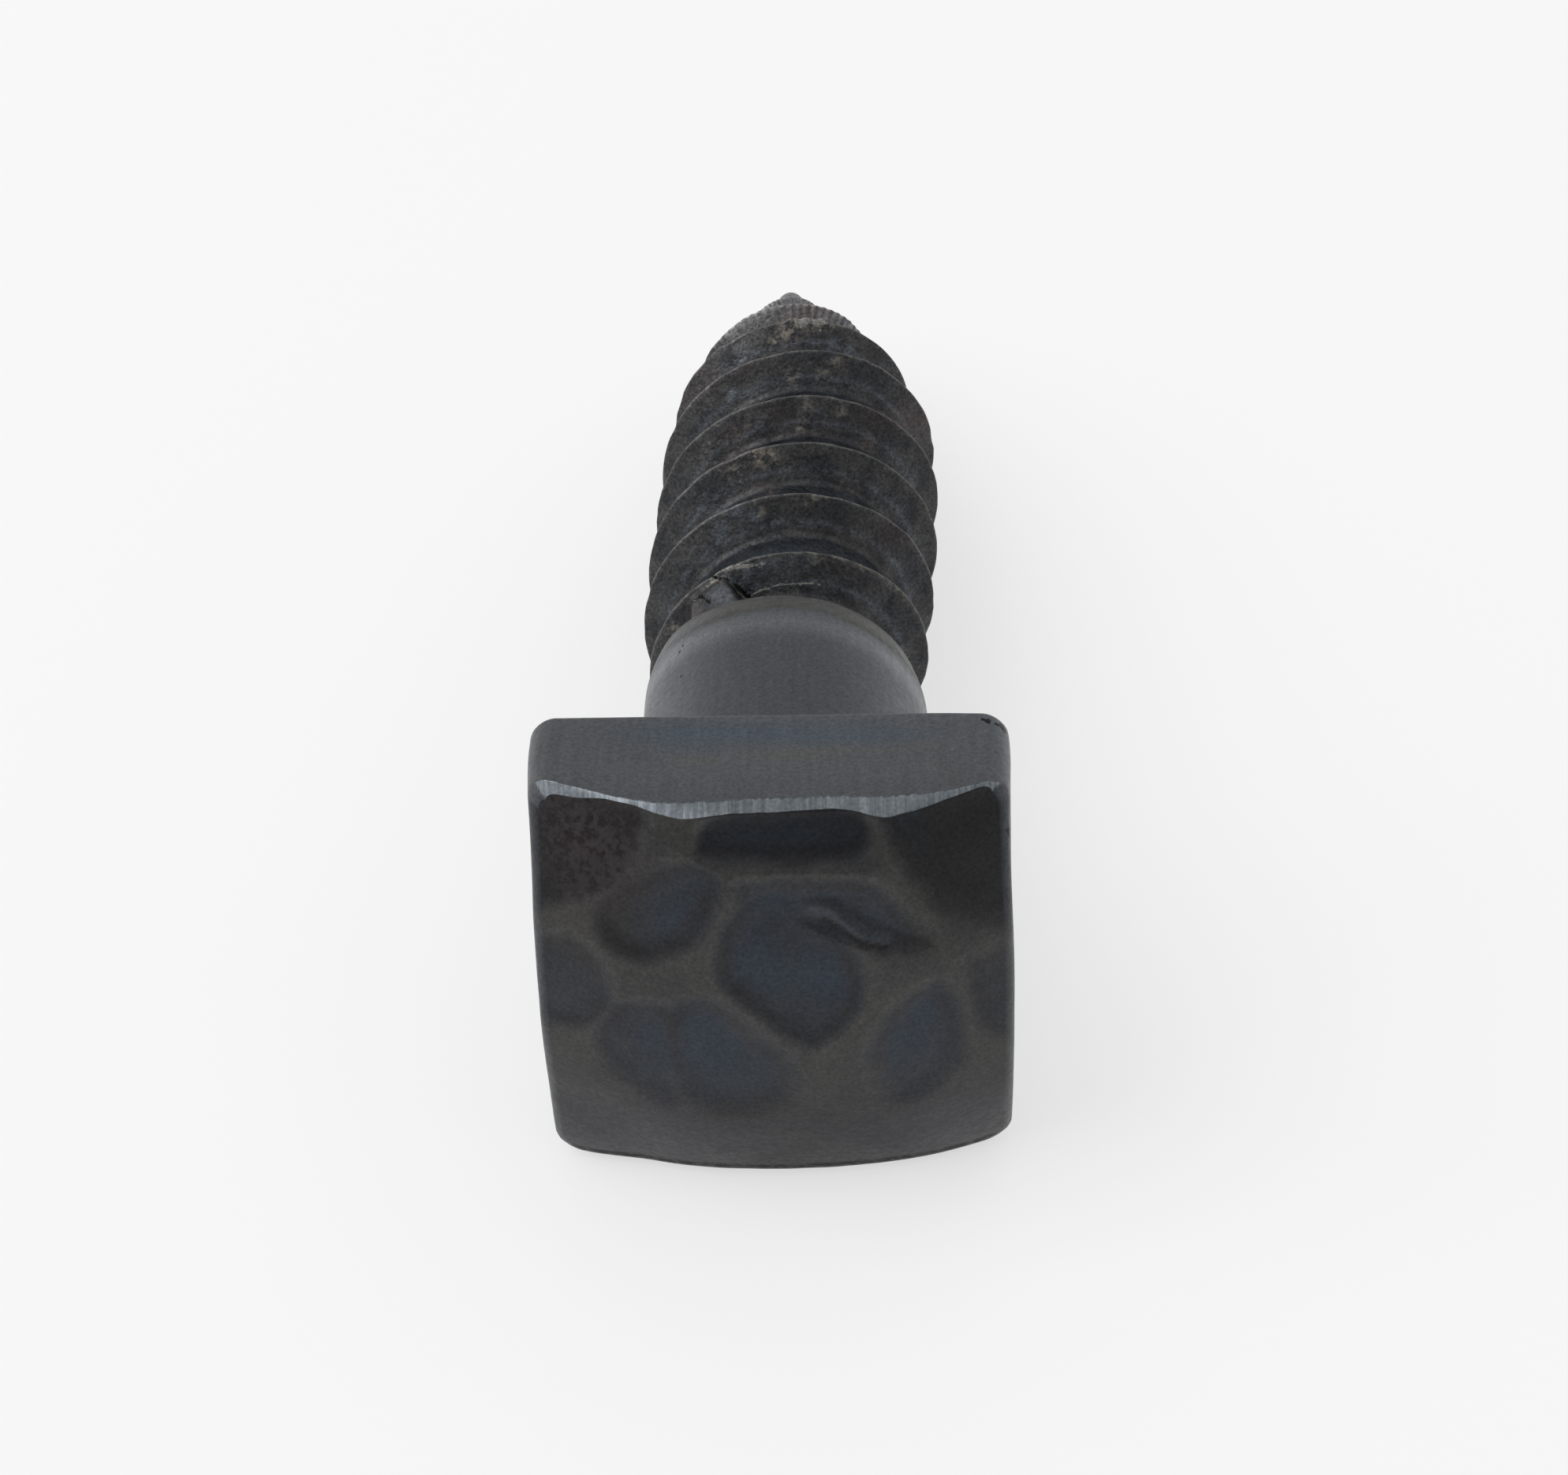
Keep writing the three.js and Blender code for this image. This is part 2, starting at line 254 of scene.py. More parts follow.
# Colours in linear light; two on a line are mottled into each other. Head flats, shank and band:
FLAT_OXIDE = (0.086, 0.094, 0.106), (0.088, 0.092, 0.099)
BLUE_TEMPER = (0.070, 0.088, 0.108)
STRAW_TEMPER = (0.112, 0.106, 0.086)
BROWN_OXIDE = (0.088, 0.074, 0.064)
# Partly rubbed metal and partly painted highlight, on the ring round the shank
RUBBED_RING_AND_HIGHLIGHT = (0.150, 0.156, 0.164)
DULL_SHOULDER = (0.062, 0.060, 0.055)
SCRATCHED = (0.17, 0.17, 0.17)
GROUND_METAL = (0.130, 0.146, 0.160), (0.200, 0.222, 0.242)

# The hammered face
LAND = (0.053, 0.052, 0.052), (0.063, 0.062, 0.060)
LAND_FOOT = (0.058, 0.057, 0.064)
# Rims of the hammer marks: partly wear and partly painted highlight
RIM = (0.085, 0.083, 0.080)
HOLLOW = (0.037, 0.040, 0.048), (0.044, 0.045, 0.050)
HOLLOW_SHEEN = (0.048, 0.055, 0.066)
HOLLOW_CORNER = (0.042, 0.041, 0.040)
HOLLOW_WALL = (0.033, 0.032, 0.033)
HOLLOW_DEEP = (0.038, 0.049, 0.062)
MAROON_STAIN = (0.042, 0.032, 0.036)
# Painted highlight on the fold's lip
FOLD_LIP_HIGHLIGHT = (0.060, 0.071, 0.084)
FOLD_DARK = (0.018, 0.017, 0.018)

# The thread
THREAD_SCALE = (0.036, 0.037, 0.040), (0.058, 0.058, 0.059)
THREAD_BROWN = (0.046, 0.039, 0.039)
ROOT_BLUE = (0.031, 0.039, 0.050)
STAINED_SCALE = (0.085, 0.076, 0.066)
RUST = (0.082, 0.060, 0.055)
# Polished places, and the painted highlight along the feet of the flanks
POLISHED_METAL_AND_SHEEN = (0.112, 0.126, 0.145)
WORN_METAL = (0.190, 0.175, 0.150)
BRIGHT_METAL = (0.235, 0.23, 0.215)
CREST_METAL = (0.145, 0.141, 0.130)
PIT_BLACK = (0.005, 0.005, 0.005)

# Height of the finest bumps, in millimetres
BUMP_HEIGHT = 0.06

# Streaks in the metal, in cells per metre across, along and up; a scratch has its turn first
DRAWN_STREAKS = (3800, 350, 350)
GRINDING_LINES = (7500, 250, 250)
SCRATCHES = [(0.5, (260, 4200, 2600)), (-0.9, (300, 5200, 3000))]

# Table and light, in metres and watts. The sky grows from low in front of the head to high behind it.
FLOOR_COLOUR = (0.31, 0.31, 0.311)
FLOOR_GLOW = 0.61
SKY_STRENGTH = (0.35, 0.8)
SOFTBOX_PLACE = (-0.55, -0.12, 0.62)
SOFTBOX_SIDE = 0.7
SOFTBOX_WATTS = 3.2

# Camera: lens in millimetres, angles in degrees, distance in metres, aim in the screw's own frame
CAMERA_LENS = 81.49
CAMERA_AZIMUTH = 1.4256
CAMERA_ELEVATION = 42.4715
CAMERA_ROLL = -1.743
CAMERA_DISTANCE = 0.1651
CAMERA_AIM = (-0.184, 16.749, -4.251)


# ------------------------ small numeric helpers

def smoothstep(low, high, value):
    part = np.clip((value - low) / (high - low), 0, 1)
    return part * part * (3 - 2 * part)


def lerp(a, b, part):
    return a + (b - a) * part


def soft_max(a, b, width):
    """The larger of two values, rounded over where they meet."""
    return 0.5 * (a + b + np.sqrt((a - b) ** 2 + width * width))


def bell(value, spread):
    """1 at zero, falling smoothly to nothing on both sides."""
    return np.exp(-((value / spread) ** 2))


def wrapped(angle):
    """The same angle between minus and plus half a turn."""
    return np.arctan2(np.sin(angle), np.cos(angle))


def in_plane(across, up):
    """Points of the plane that the bearing face lies in."""
    return np.stack([across, np.zeros_like(across), up], axis=-1)


def noise(points, cell, seed):
    """Smooth random field between -1 and 1 at (n, 3) points, with cells of the given size."""
    table = np.random.default_rng(seed).uniform(-1, 1, (NOISE_TABLE,) * 3)
    scaled = points / cell
    base = np.floor(scaled).astype(int)
    part = scaled - base
    part = part * part * (3 - 2 * part)
    total = np.zeros(len(points))
    for corner in itertools.product((0, 1), repeat=3):
        weight = np.prod(np.where(corner, part, 1 - part), axis=1)
        index = (base + corner) % NOISE_TABLE
        total += weight * table[index[:, 0], index[:, 1], index[:, 2]]
    return total


def grid_noise(points, cell, seed):
    return noise(points.reshape(-1, 3), cell, seed).reshape(points.shape[:-1])


# ------------------------ shank and thread surface

def bow(along):
    """How far the thread's middle stands to the right of the shank's."""
    return BOW * bell(along - BOW_CENTRE, BOW_SPREAD)


def on_axis(angle, along, radius):
    """Points at an angle round the axis, a place along it and a radius."""
    return np.stack([radius * np.sin(angle) + bow(along), along, radius * np.cos(angle)], axis=-1)


def shank_end(angle):
    """Where the shank stops: further along on the left, where the first groove was torn open."""
    degrees = np.degrees(wrapped(angle))
    return SHANK_END + 0.9 * bell(degrees + 65, 35) - 0.12 * bell(degrees - 90, 50)


def crest_radius(along):
    """Radius at the crests, growing out of the shank's end and tapering to the point."""
    grown = smoothstep(SHANK_END, FULL_CREST, along)
    full = lerp(SHANK_END_RADIUS, CREST_RADIUS, grown)
    full = full + 0.1 * bell(along - 25.0, 4)
    part = np.clip((along - POINT_START) / (LENGTH - POINT_START), 0, 1)
    return full * (1 - part**POINT_CURVE)


def thread_depth(along):
    """Depth from crest to root, shallower towards the point."""
    run_out = 1 - smoothstep(POINT_START + 4, LENGTH, along)
    return THREAD_DEPTH * lerp(0.25, 1, run_out)


def left_swell(angle, along):
    """The thread stands prouder on the left, and runs out sooner there near the point."""
    return np.interp(along, SWELL_PLACES, SWELL_GAINS) * np.clip(-np.sin(angle), 0, 1) ** 2


def spots(place, places):
    """How near each point of the thread is to the closest of some places."""
    total = np.zeros(place.shape[:-1])
    for degrees, centre, size in places:
        total = np.maximum(total, bell(apart(place, degrees, centre), size))
    return total


def apart(place, degrees, centre):
    """Distance from a place on the thread's surface, in millimetres."""
    angle = np.array([math.radians(degrees)])
    along = np.array([centre])
    middle = on_axis(angle, along, groove_radius(angle, along))[0]
    return np.linalg.norm(place - middle, axis=-1)


def lumps(place):
    """Height of the lumps and hollows at places on the thread."""
    total = np.zeros(place.shape[:-1])
    for degrees, centre, size, height in LUMPS:
        total += height * bell(apart(place, degrees, centre), size)
    return total


def cracks(angle, along):
    """Depth of the cracks in the torn metal, as sunk in the mesh."""
    total = np.zeros(along.shape)
    scale = math.radians(1) * SHANK_END_RADIUS
    turned = np.degrees(wrapped(angle)) * scale
    for (start, begin), (finish, stop), half, depth in CRACKS:
        away = line_distance(turned, along, [(start * scale, begin), (finish * scale, stop)])
        total = np.maximum(total, depth * bell(away, half + CRACK_SPREAD))
    return total


def crest_waver(angle, along):
    """How far each crest strays from a true helix."""
    place = on_axis(angle, along, crest_radius(along))
    return 0.05 * grid_noise(place, 2.5, 11) + 0.02 * grid_noise(place, 0.7, 16)


def beyond_crest(angle, along):
    """Signed distance along the axis from the nearest crest."""
    turn = (along + crest_waver(angle, along) - FIRST_CREST) / PITCH - angle / TURN
    return (turn - np.round(turn)) * PITCH


def winding_of(angle):
    """Degrees round the screw, from -270 to 90, so that the torn part is in one piece."""
    return np.degrees(np.where(angle > math.pi / 2, angle - TURN, angle))


def groove_radius(angle, along):
    """Radius of the thread before lumps and cracks."""
    angle = wrapped(angle)
    place = on_axis(angle, along, crest_radius(along))
    off = np.abs(beyond_crest(angle, along))
    depth = thread_depth(along)
    root = crest_radius(along) - depth
    fade = nub_fade(along)
    worn = 0.06 * np.clip(grid_noise(place, 0.9, 12), 0, 1)
    ribs = RIB_HEIGHT * np.sin(angle * RIBS) * smoothstep(LAST_TURN - 0.4, LAST_TURN + 1.1, along)
    flank = np.clip((off - CREST_LAND / 2) / FLANK_SLOPE, 0, None)
    near_crest = bell(off, 0.3)
    ridge = soft_max(depth * fade - flank, 0, 0.1) - (worn + ribs * fade) * near_crest
    radius = root + ridge + left_swell(angle, along) * fade
    return np.maximum(radius, first_groove(angle, along, place))


def first_groove(angle, along, place):
    """Radius of the metal left in the first groove: it ramps down from the shank and ends in a tear."""
    winding = winding_of(angle)
    depth = thread_depth(along)
    full = crest_radius(along)
    closed = full - 0.06 - depth * smoothstep(-118, -24, winding) + 0.08 * grid_noise(place, 0.8, 13)
    torn_edge = smoothstep(-50, -44, winding) * smoothstep(-20, -24, winding + 3 * (along - 15))
    torn = full - 0.20 + 0.04 * grid_noise(place, 0.9, 14) + 0.05 * grid_noise(place, 0.4, 15)
    first_line = FIRST_CREST + PITCH + PITCH * winding / 360
    before = (along < first_line + 0.02) & (winding < -5)
    return np.where(before, np.maximum(closed, lerp(full - depth, torn, torn_edge)), 0)


def nub_fade(along):
    """1 on the thread, falling to 0 where the rounded point begins."""
    return 1 - smoothstep(NUB_START - 1.4, NUB_START, along)


def thread_radius(angle, along):
    """Radius of the threaded surface with its lumps, cracks and the shank's end."""
    radius = groove_radius(angle, along)
    place = on_axis(angle, along, radius)
    radius = radius - cracks(angle, along) + lumps(place) * nub_fade(along)
    past = along - shank_end(angle)
    plug = SHANK_END_RADIUS - np.clip(past, 0, None) / FLANK_SLOPE
    return lerp(SHANK_END_RADIUS, np.maximum(radius, plug), smoothstep(0, 0.22, past))


def crest_line(angle, along):
    """Thin worn line on each crest, wider on part of the first, and one on the shank's end."""
    angle = wrapped(angle)
    off = np.abs(beyond_crest(angle, along))
    winding = winding_of(angle)
    wide = bell(along - 16.7, 0.5) * smoothstep(8, 20, winding) * smoothstep(85, 60, winding)
    crest = bell(off, lerp(0.05, 0.11, wide)) * thread_present(along)
    return np.maximum(crest, 0.6 * bell(along - shank_end(angle), 0.05))


def thread_present(along):
    """1 where the crests stand free, 0 on the shank's end and on the rounded point."""
    return smoothstep(14.4, 15.2, along) * nub_fade(along)


def groove_sheen(angle, along):
    """Painted bluish highlight along the foot of the flanks that face the head, and the darker blue of the
    roots.
    """
    beyond = beyond_crest(angle, along)
    present = thread_present(along)
    foot = 0.55 * bell(beyond + 0.66, 0.07)
    root = smoothstep(1.0, 1.4, np.abs(beyond))
    return foot * present, root * present


def shank_radius(angle, along):
    """Radius of the shank, with the fillet under the head and the cone of its shoulder."""
    end = shank_end(angle)
    into = np.clip((along - (end - SHOULDER)) / SHOULDER, 0, 1)
    cone = SHANK_RADIUS - (SHANK_RADIUS - SHANK_END_RADIUS) * smoothstep(-0.25, 1.0, into) * into
    fillet_part = np.clip(1 - along / FILLET, 0, 1)
    fillet = FILLET * (1 - np.sqrt(1 - fillet_part**2))
    return cone + fillet


def nub_radius(along):
    """The point ends in a small rounded nub."""
    part = np.clip((along - NUB_START) / (LENGTH - NUB_START), 0, 1)
    return NUB_RADIUS * np.sqrt(1 - part**2)


# ------------------------ head surface

def closed_curve(outline):
    """Smooth closed curve through the points of an outline."""
    points = np.array(outline)
    before, after, later = (np.roll(points, shift, axis=0) for shift in (1, -1, -2))
    curve = []
    for part in np.linspace(0, 1, CURVE_STEPS, endpoint=False):
        leave = 0.5 * (after - before)
        arrive = 0.5 * (later - points)
        curve.append(
            (2 * part**3 - 3 * part**2 + 1) * points + (part**3 - 2 * part**2 + part) * leave
            + (3 * part**2 - 2 * part**3) * after + (part**3 - part**2) * arrive
        )
    return np.stack(curve, axis=1).reshape(-1, 2)


def depth_inside(across, up, outline):
    """Distance inside a closed curve, less than zero outside it."""
    curve = closed_curve(outline)
    curve = np.concatenate([curve, curve[:1]])
    nearest = line_distance(across, up, curve)
    inside = np.zeros(across.shape, bool)
    for (x0, z0), (x1, z1) in zip(curve, curve[1:]):
        if z0 != z1:
            crossing = x0 + (up - z0) / (z1 - z0) * (x1 - x0)
            inside ^= ((z0 > up) != (z1 > up)) & (across < crossing)
    return np.where(inside, nearest, -nearest)


def line_distance(u, v, points):
    """Distance from each place to a broken line."""
    nearest = np.full(np.shape(u), np.inf)
    for (u0, v0), (u1, v1) in zip(points, points[1:]):
        du = u1 - u0
        dv = v1 - v0
        part = np.clip(((u - u0) * du + (v - v0) * dv) / (du * du + dv * dv), 0, 1)
        nearest = np.minimum(nearest, np.hypot(u - u0 - part * du, v - v0 - part * dv))
    return nearest


def hammer_marks(across, up, blurred):
    """Depth of the hammer marks and how far each place lies inside one, with floor, rim and each mark's
    painted light and shade.
    """
    points = in_plane(across, up)
    ragged = 0.09 * grid_noise(points, 0.9, 23) + 0.04 * grid_noise(points, 0.35, 24)
    total = np.zeros_like(across)
    floor = np.zeros_like(across)
    inmost = np.full_like(across, -9.0)
    rim = np.zeros_like(across)
    tone = np.ones_like(across)
    for depth, slope, shade, outline in MARKS:
        inward = depth_inside(across, up, outline) + ragged
        share = np.clip(soft_max(inward, 0, 0.35) / slope, 0, 1)
        sunk = depth * (1 - (1 - share) ** 2)
        # Each mark's painted light and shade, as a factor on brightness
        shaded = lerp(1, shade, smoothstep(-0.2 - 0.4 * blurred, 0.5 + blurred, inward))
        tone = np.where(sunk >= total, shaded, tone)
        total = np.maximum(total, sunk)
        strength = smoothstep(0, 0.22, depth)
        here = smoothstep(-0.22 - 0.4 * blurred, 0.42 + 0.8 * blurred, inward)
        floor = np.maximum(floor, strength * here)
        inmost = np.maximum(inmost, inward)
        rim = np.maximum(rim, strength * bell(inward + 0.16, 0.15))
    return total, inmost, floor, rim, tone


def mark_depths(across, up):
    """Depth of the hammered face below the crown, with masks for the marks, the fold, the wear, the stains,
    and the painted light and shade.
    """
    low = smoothstep(0.0, -4.0, up)
    corner = smoothstep(1.0, 5.0, up) * smoothstep(4.0, 6.5, np.abs(across))
    blurred = np.maximum(low, corner * (across > 0))
    total, inmost, floor, rim, tone = hammer_marks(across, up, blurred)

    # the lapped fold fills the ridge between two marks
    seam = smoothstep(1.1, 0.3, line_distance(across, up, FOLD_SEAM)) * smoothstep(4.2, 1.6, across)
    slit = bell(line_distance(across, up, FOLD_SLIT), 0.12)
    # The lip stands a little proud and carries a painted highlight
    lip = bell(line_distance(across, up, FOLD_LIP), 0.26)
    total = np.maximum(total, 0.42 * seam) + 0.08 * slit - 0.04 * lip
    rim = rim * (1 - floor) * (1 - seam)
    floor = np.maximum(floor, seam)
    wall = floor * bell(inmost - 0.45, 0.38) * lerp(1, 0.45, low) * (1 - seam)
    inner = smoothstep(7.0, 5.5, np.abs(across)) * lerp(1, 0.6, low)
    deep = floor * smoothstep(0.5, 1.3, inmost) * inner * (1 - corner)

    # painted shade and stains: darker towards the lower edge, on the right side below the middle and in the
    # top right corner; the foot darker and stained, and the top left corner stained
    lowest = smoothstep(-2.5, -7.0, up)
    foot = smoothstep(-9.05, -9.35, up)
    at_right = smoothstep(6.5, 8.5, across) * smoothstep(3, 0, up)
    tone = tone * lerp(1, 0.58, lowest * bell(across - 1.0, 5.0)) * lerp(1, 0.5, foot)
    tone = tone * lerp(1, 0.88, at_right) * lerp(1, 0.85, corner * (across > 0))
    stain = np.maximum(bell(across + 7.6, 2.0) * bell(up - 7.7, 2.2), foot)
    return total, {"mark": floor, "wall": wall, "deep": deep, "rim": rim, "tone": tone,
                   "blue": lowest, "tan": corner, "rust": stain, "crack": slit, "polish": lip}


def crown(across, up):
    """Place along the axis of the hammered crown, and the masks of its hammer marks."""
    drop = CROWN_RADIUS - np.sqrt(CROWN_RADIUS**2 - across**2 - up**2)
    depth, masks = mark_depths(across, up)
    points = in_plane(across, up)
    uneven = 0.05 * grid_noise(points, 3.4, 21) + 0.012 * grid_noise(points, 0.9, 22)
    low = smoothstep(-4.5, -9.7, up)
    full = 0.55 * smoothstep(-5.5, -9.6, across) * low
    flat = 0.2 * bell(across, 3.5) * low
    return drop - HEAD_HEIGHT + depth + uneven - full + flat, masks


def rounded(across, up):
    """Moves points of the square head onto the same square with rounded corners."""
    straight = HEAD_HALF - HEAD_CORNER
    dx = np.clip(np.abs(across) - straight, 0, None)
    dz = np.clip(np.abs(up) - straight, 0, None)
    both = (dx > 0) & (dz > 0)
    shrink = np.maximum(dx, dz) / np.where(both, np.hypot(dx, dz), 1)
    return (
        np.where(both, np.sign(across) * (straight + dx * shrink), across),
        np.where(both, np.sign(up) * (straight + dz * shrink), up),
    )


def head_outline(across, up, along):
    """Hammering left the head slightly narrower at its struck top and spread at its struck foot."""
    struck = smoothstep(-1.0, -6.0, along)
    high = smoothstep(0.0, 9.0, up)
    wide = 1 - 0.02 * high * lerp(0.05, 1, struck)
    tall = np.where(up < 0, 1 + 0.022 * struck, 1 - 0.006 * struck)
    return across * wide + HEAD_SHIFT + HEAD_LEAN * up, up * tall


# ------------------------ mesh building

# What the mesh tells the material at every vertex
MASKS = ["face", "mark", "wall", "deep", "rim", "tone", "band", "blue", "tan",
         "shoulder", "ring", "thread", "crest", "polish", "rust", "worn", "crack"]


class Shell:
    """Patches of one closed surface, welded into a single mesh at the end."""

    def __init__(self):
        self.points = []
        self.masks = []
        self.faces = []
        self.count = 0

    def add_points(self, points, **masks):
        """Adds points with their masks and returns their numbers in the mesh."""
        flat = points.reshape(-1, 3)
        table = np.zeros((len(flat), len(MASKS)))
        for name, values in masks.items():
            table[:, MASKS.index(name)] = np.broadcast_to(values, points.shape[:-1]).reshape(-1)
        self.points.append(flat)
        self.masks.append(table)
        first = self.count
        self.count += len(flat)
        return first + np.arange(len(flat)).reshape(points.shape[:-1])

    def grid(self, points, closed, **masks):
        """A grid of rows; closed joins each row's last column to its first."""
        index = self.add_points(points, **masks)
        after = np.roll(index, -1, axis=1) if closed else index[:, 1:]
        here = index if closed else index[:, :-1]
        quads = np.stack([here[:-1], after[:-1], after[1:], here[1:]], axis=-1)
        self.faces.extend(quads.reshape(-1, 4).tolist())
        return index

    def halving(self, fine, coarse):
        """Joins a ring to one with half as many columns."""
        for i in range(len(coarse)):
            after = (i + 1) % len(coarse)
            first, middle = fine[2 * i], fine[2 * i + 1]
            last = fine[(2 * i + 2) % len(fine)]
            self.faces.append([first, middle, coarse[i]])
            self.faces.append([middle, coarse[after], coarse[i]])
            self.faces.append([middle, last, coarse[after]])

    def fan(self, ring, tip, **masks):
        """Closes a ring with triangles to one point."""
        centre = int(self.add_points(np.array([tip]), **masks)[0])
        for i in range(len(ring)):
            self.faces.append([ring[i], ring[(i + 1) % len(ring)], centre])


def ring_angles(columns):
    """Equal steps once round the axis."""
    return TURN * np.arange(columns) / columns


def perimeter():
    """Points round the square head, clockwise from the middle of the top as seen from the head."""
    half = HEAD_HALF
    walk = np.arange(HEAD_COLUMNS) / SIDE_CELLS * 2 * half
    across = np.zeros(HEAD_COLUMNS)
    up = np.zeros(HEAD_COLUMNS)
    for side in range(4):
        along = walk - (2 * side - 1) * half
        if side == 0:
            along = np.where(walk >= 7 * half, walk - 7 * half, along)
        here = (along >= 0) & (along < 2 * half)
        place = along - half
        turned = [(place, half), (half, -place), (-place, -half), (-half, place)][side]
        across = np.where(here, turned[0], across)
        up = np.where(here, turned[1], up)
    return across, up


def add_front(shell):
    """Hammered front face, as a square grid whose border is the inner line of the edge."""
    line = np.linspace(-1, 1, SIDE_CELLS + 1)
    u, v = np.meshgrid(line, line)
    across, up = rounded(u * HEAD_HALF, v * HEAD_HALF)
    inset = np.where(v > 0, np.interp(across, BAND_PLACES, BAND_ON_FACE), EDGE_ROUND)
    across = across - np.sign(u) * EDGE_ROUND * np.abs(u) ** EDGE_PULL
    up = up - np.sign(v) * inset * np.abs(v) ** EDGE_PULL
    across, up = head_outline(across, up, np.full_like(across, FACE_EDGE))
    along, masks = crown(across, up)
    points = np.stack([across, along, up], axis=-1)
    shell.grid(points, False, face=1.0, **masks)
    return points


def border_of(points):
    """The border of the front grid in the order of perimeter()."""
    half = SIDE_CELLS // 2
    top = points[-1, half:-1]
    right = points[:0:-1, -1]
    bottom = points[0, :0:-1]
    left = points[:-1, 0]
    top_left = points[-1, :half]
    return np.concatenate([top, right, bottom, left, top_left])


def add_edge(shell, border, across, up):
    """Ground band along the face's top edge, and a rounded edge round the rest of it."""
    fx, fz = head_outline(across, up, np.full_like(across, FACE_EDGE))
    corner_along, masks = crown(fx, fz)
    top = smoothstep(HEAD_HALF - 1.0, HEAD_HALF - 0.3, up) * smoothstep(9.7, 9.0, np.abs(across))
    reach = np.interp(across, BAND_PLACES, BAND_ON_TOP)
    width = lerp(EDGE_ROUND, reach, top)
    outer_along = corner_along + width
    ox, oz = head_outline(across, up, outer_along)
    outer = np.stack([ox, outer_along, oz], axis=-1)
    corner = np.stack([fx, corner_along, fz], axis=-1)
    middle = (border + outer) / 2
    control = lerp(corner, middle, (0.85 * top)[:, None])
    rows = []
    band = []
    for part in EDGE_STEPS:
        rows.append(border * (1 - part) ** 2 + 2 * control * part * (1 - part) + outer * part**2)
        band.append(top * (0 < part < 1))
    fading = np.linspace(1, 0, len(EDGE_STEPS))[:, None]
    dark_foot = smoothstep(-9.0, -9.4, up) * smoothstep(1.0, 0.55, fading)
    bright = np.interp(across, BAND_TONE_PLACES, BAND_TONES)
    tone = lerp(1, masks["tone"], fading) * (1 - 0.5 * dark_foot)
    band = np.array(band)
    tone = np.where(band > 0, bright, tone)
    shell.grid(np.array(rows), True, band=band, face=fading, tone=tone, mark=masks["mark"] * fading)
    return top, outer_along


def add_sides(shell, across, up, top, outer_along):
    """The four flats, slightly uneven, from the edge of the face to the rear edge."""
    side_rows = []
    rear = -rear_round(across, up)
    parts = np.concatenate([[0, 0.02], np.linspace(0.08, 1, SIDE_ROWS - 2)])
    for part in parts:
        along = lerp(outer_along, rear, part)
        sx, sz = head_outline(across, up, along)
        side_rows.append(np.stack([sx, along, sz], axis=-1))
    side = np.array(side_rows)
    belly = np.sin(parts * math.pi)[:, None]
    uneven = 0.03 * grid_noise(side, 3.1, 31) + 0.008 * grid_noise(side, 0.8, 32)
    hollow = 0.06 * smoothstep(9.5, 3.0, np.abs(across)) * (up > 9)
    outward = outward_from(across, up)
    side = side + outward * ((uneven - hollow) * belly)[..., None]
    ground = np.zeros((SIDE_ROWS, 1))
    ground[0] = 1
    blue, tan = top_tints(side)
    tone = 1 - 0.12 * smoothstep(-3.5, -5.5, side[:, :, 1]) * (up > 9)
    shell.grid(side, True, band=ground * top, tone=tone, blue=blue, tan=tan)
    return side[-1]


def top_tints(side):
    """Bluish and straw-coloured temper streaks along the top flat."""
    across, along, up = side[..., 0], side[..., 1], side[..., 2]
    on_top = smoothstep(9.2, 9.5, up)
    blue = bell(along + 1.45 + 0.03 * across, 0.7) * smoothstep(8.5, 4.0, np.abs(across))
    tan = bell(along + 2.75 - 0.07 * across, 0.32)
    tan = tan * smoothstep(-5.5, -3.0, across) * smoothstep(9.5, 6.0, across)
    tan = tan * (0.6 + 0.6 * grid_noise(side, 1.8, 33))
    return blue * on_top, tan * on_top


def outward_from(across, up):
    """Direction out of the head at places round its square outline."""
    nominal = in_plane(across, up)
    straight = HEAD_HALF - HEAD_CORNER
    outward = nominal - np.clip(nominal, -straight, straight)
    return outward / np.linalg.norm(outward, axis=-1, keepdims=True)


def rear_round(across, up):
    """Radius of the rear edge: small above and below, larger at the sides and the top right corner."""
    at_side = smoothstep(8.6, 9.5, np.abs(across))
    chipped = 0.12 * smoothstep(6.5, 9.5, across) * smoothstep(6.5, 9.5, up)
    return lerp(REAR_ROUND, REAR_ROUND_SIDES, at_side) + chipped


def add_underside(shell, rear, across, up):
    """Rounded rear edge and the flat bearing face, down to the ring round the shank's fillet."""
    outward = outward_from(across, up)
    bend = rear_round(across, up)[:, None]
    rows = [rear]
    for degrees in (15, 30, 45, 60, 75, 90):
        turned = math.radians(degrees)
        row = rear - outward * bend * (1 - math.cos(turned))
        row[:, 1] = rear[:, 1] + bend[:, 0] * math.sin(turned)
        rows.append(row)
    edge = rows[-1]
    angle = ring_angles(HEAD_COLUMNS)
    ring = on_axis(angle, np.zeros_like(angle), SHANK_RADIUS + FILLET)
    for part in np.linspace(0, 1, UNDERSIDE_ROWS)[1:]:
        rows.append(lerp(edge, ring, part))
    index = shell.grid(np.array(rows), True, tone=1.0)
    return index[-1]


def shank_rows():
    """Places along the shank from the bearing face to the shoulder, closest together at the fillet."""
    fillet = FILLET * (1 - np.cos(np.linspace(0.25, 1, 5) * math.pi / 2))
    plain = np.linspace(FILLET, SHANK_END - SHOULDER - 0.3, SHANK_ROWS)[1:]
    return np.concatenate([fillet, plain])


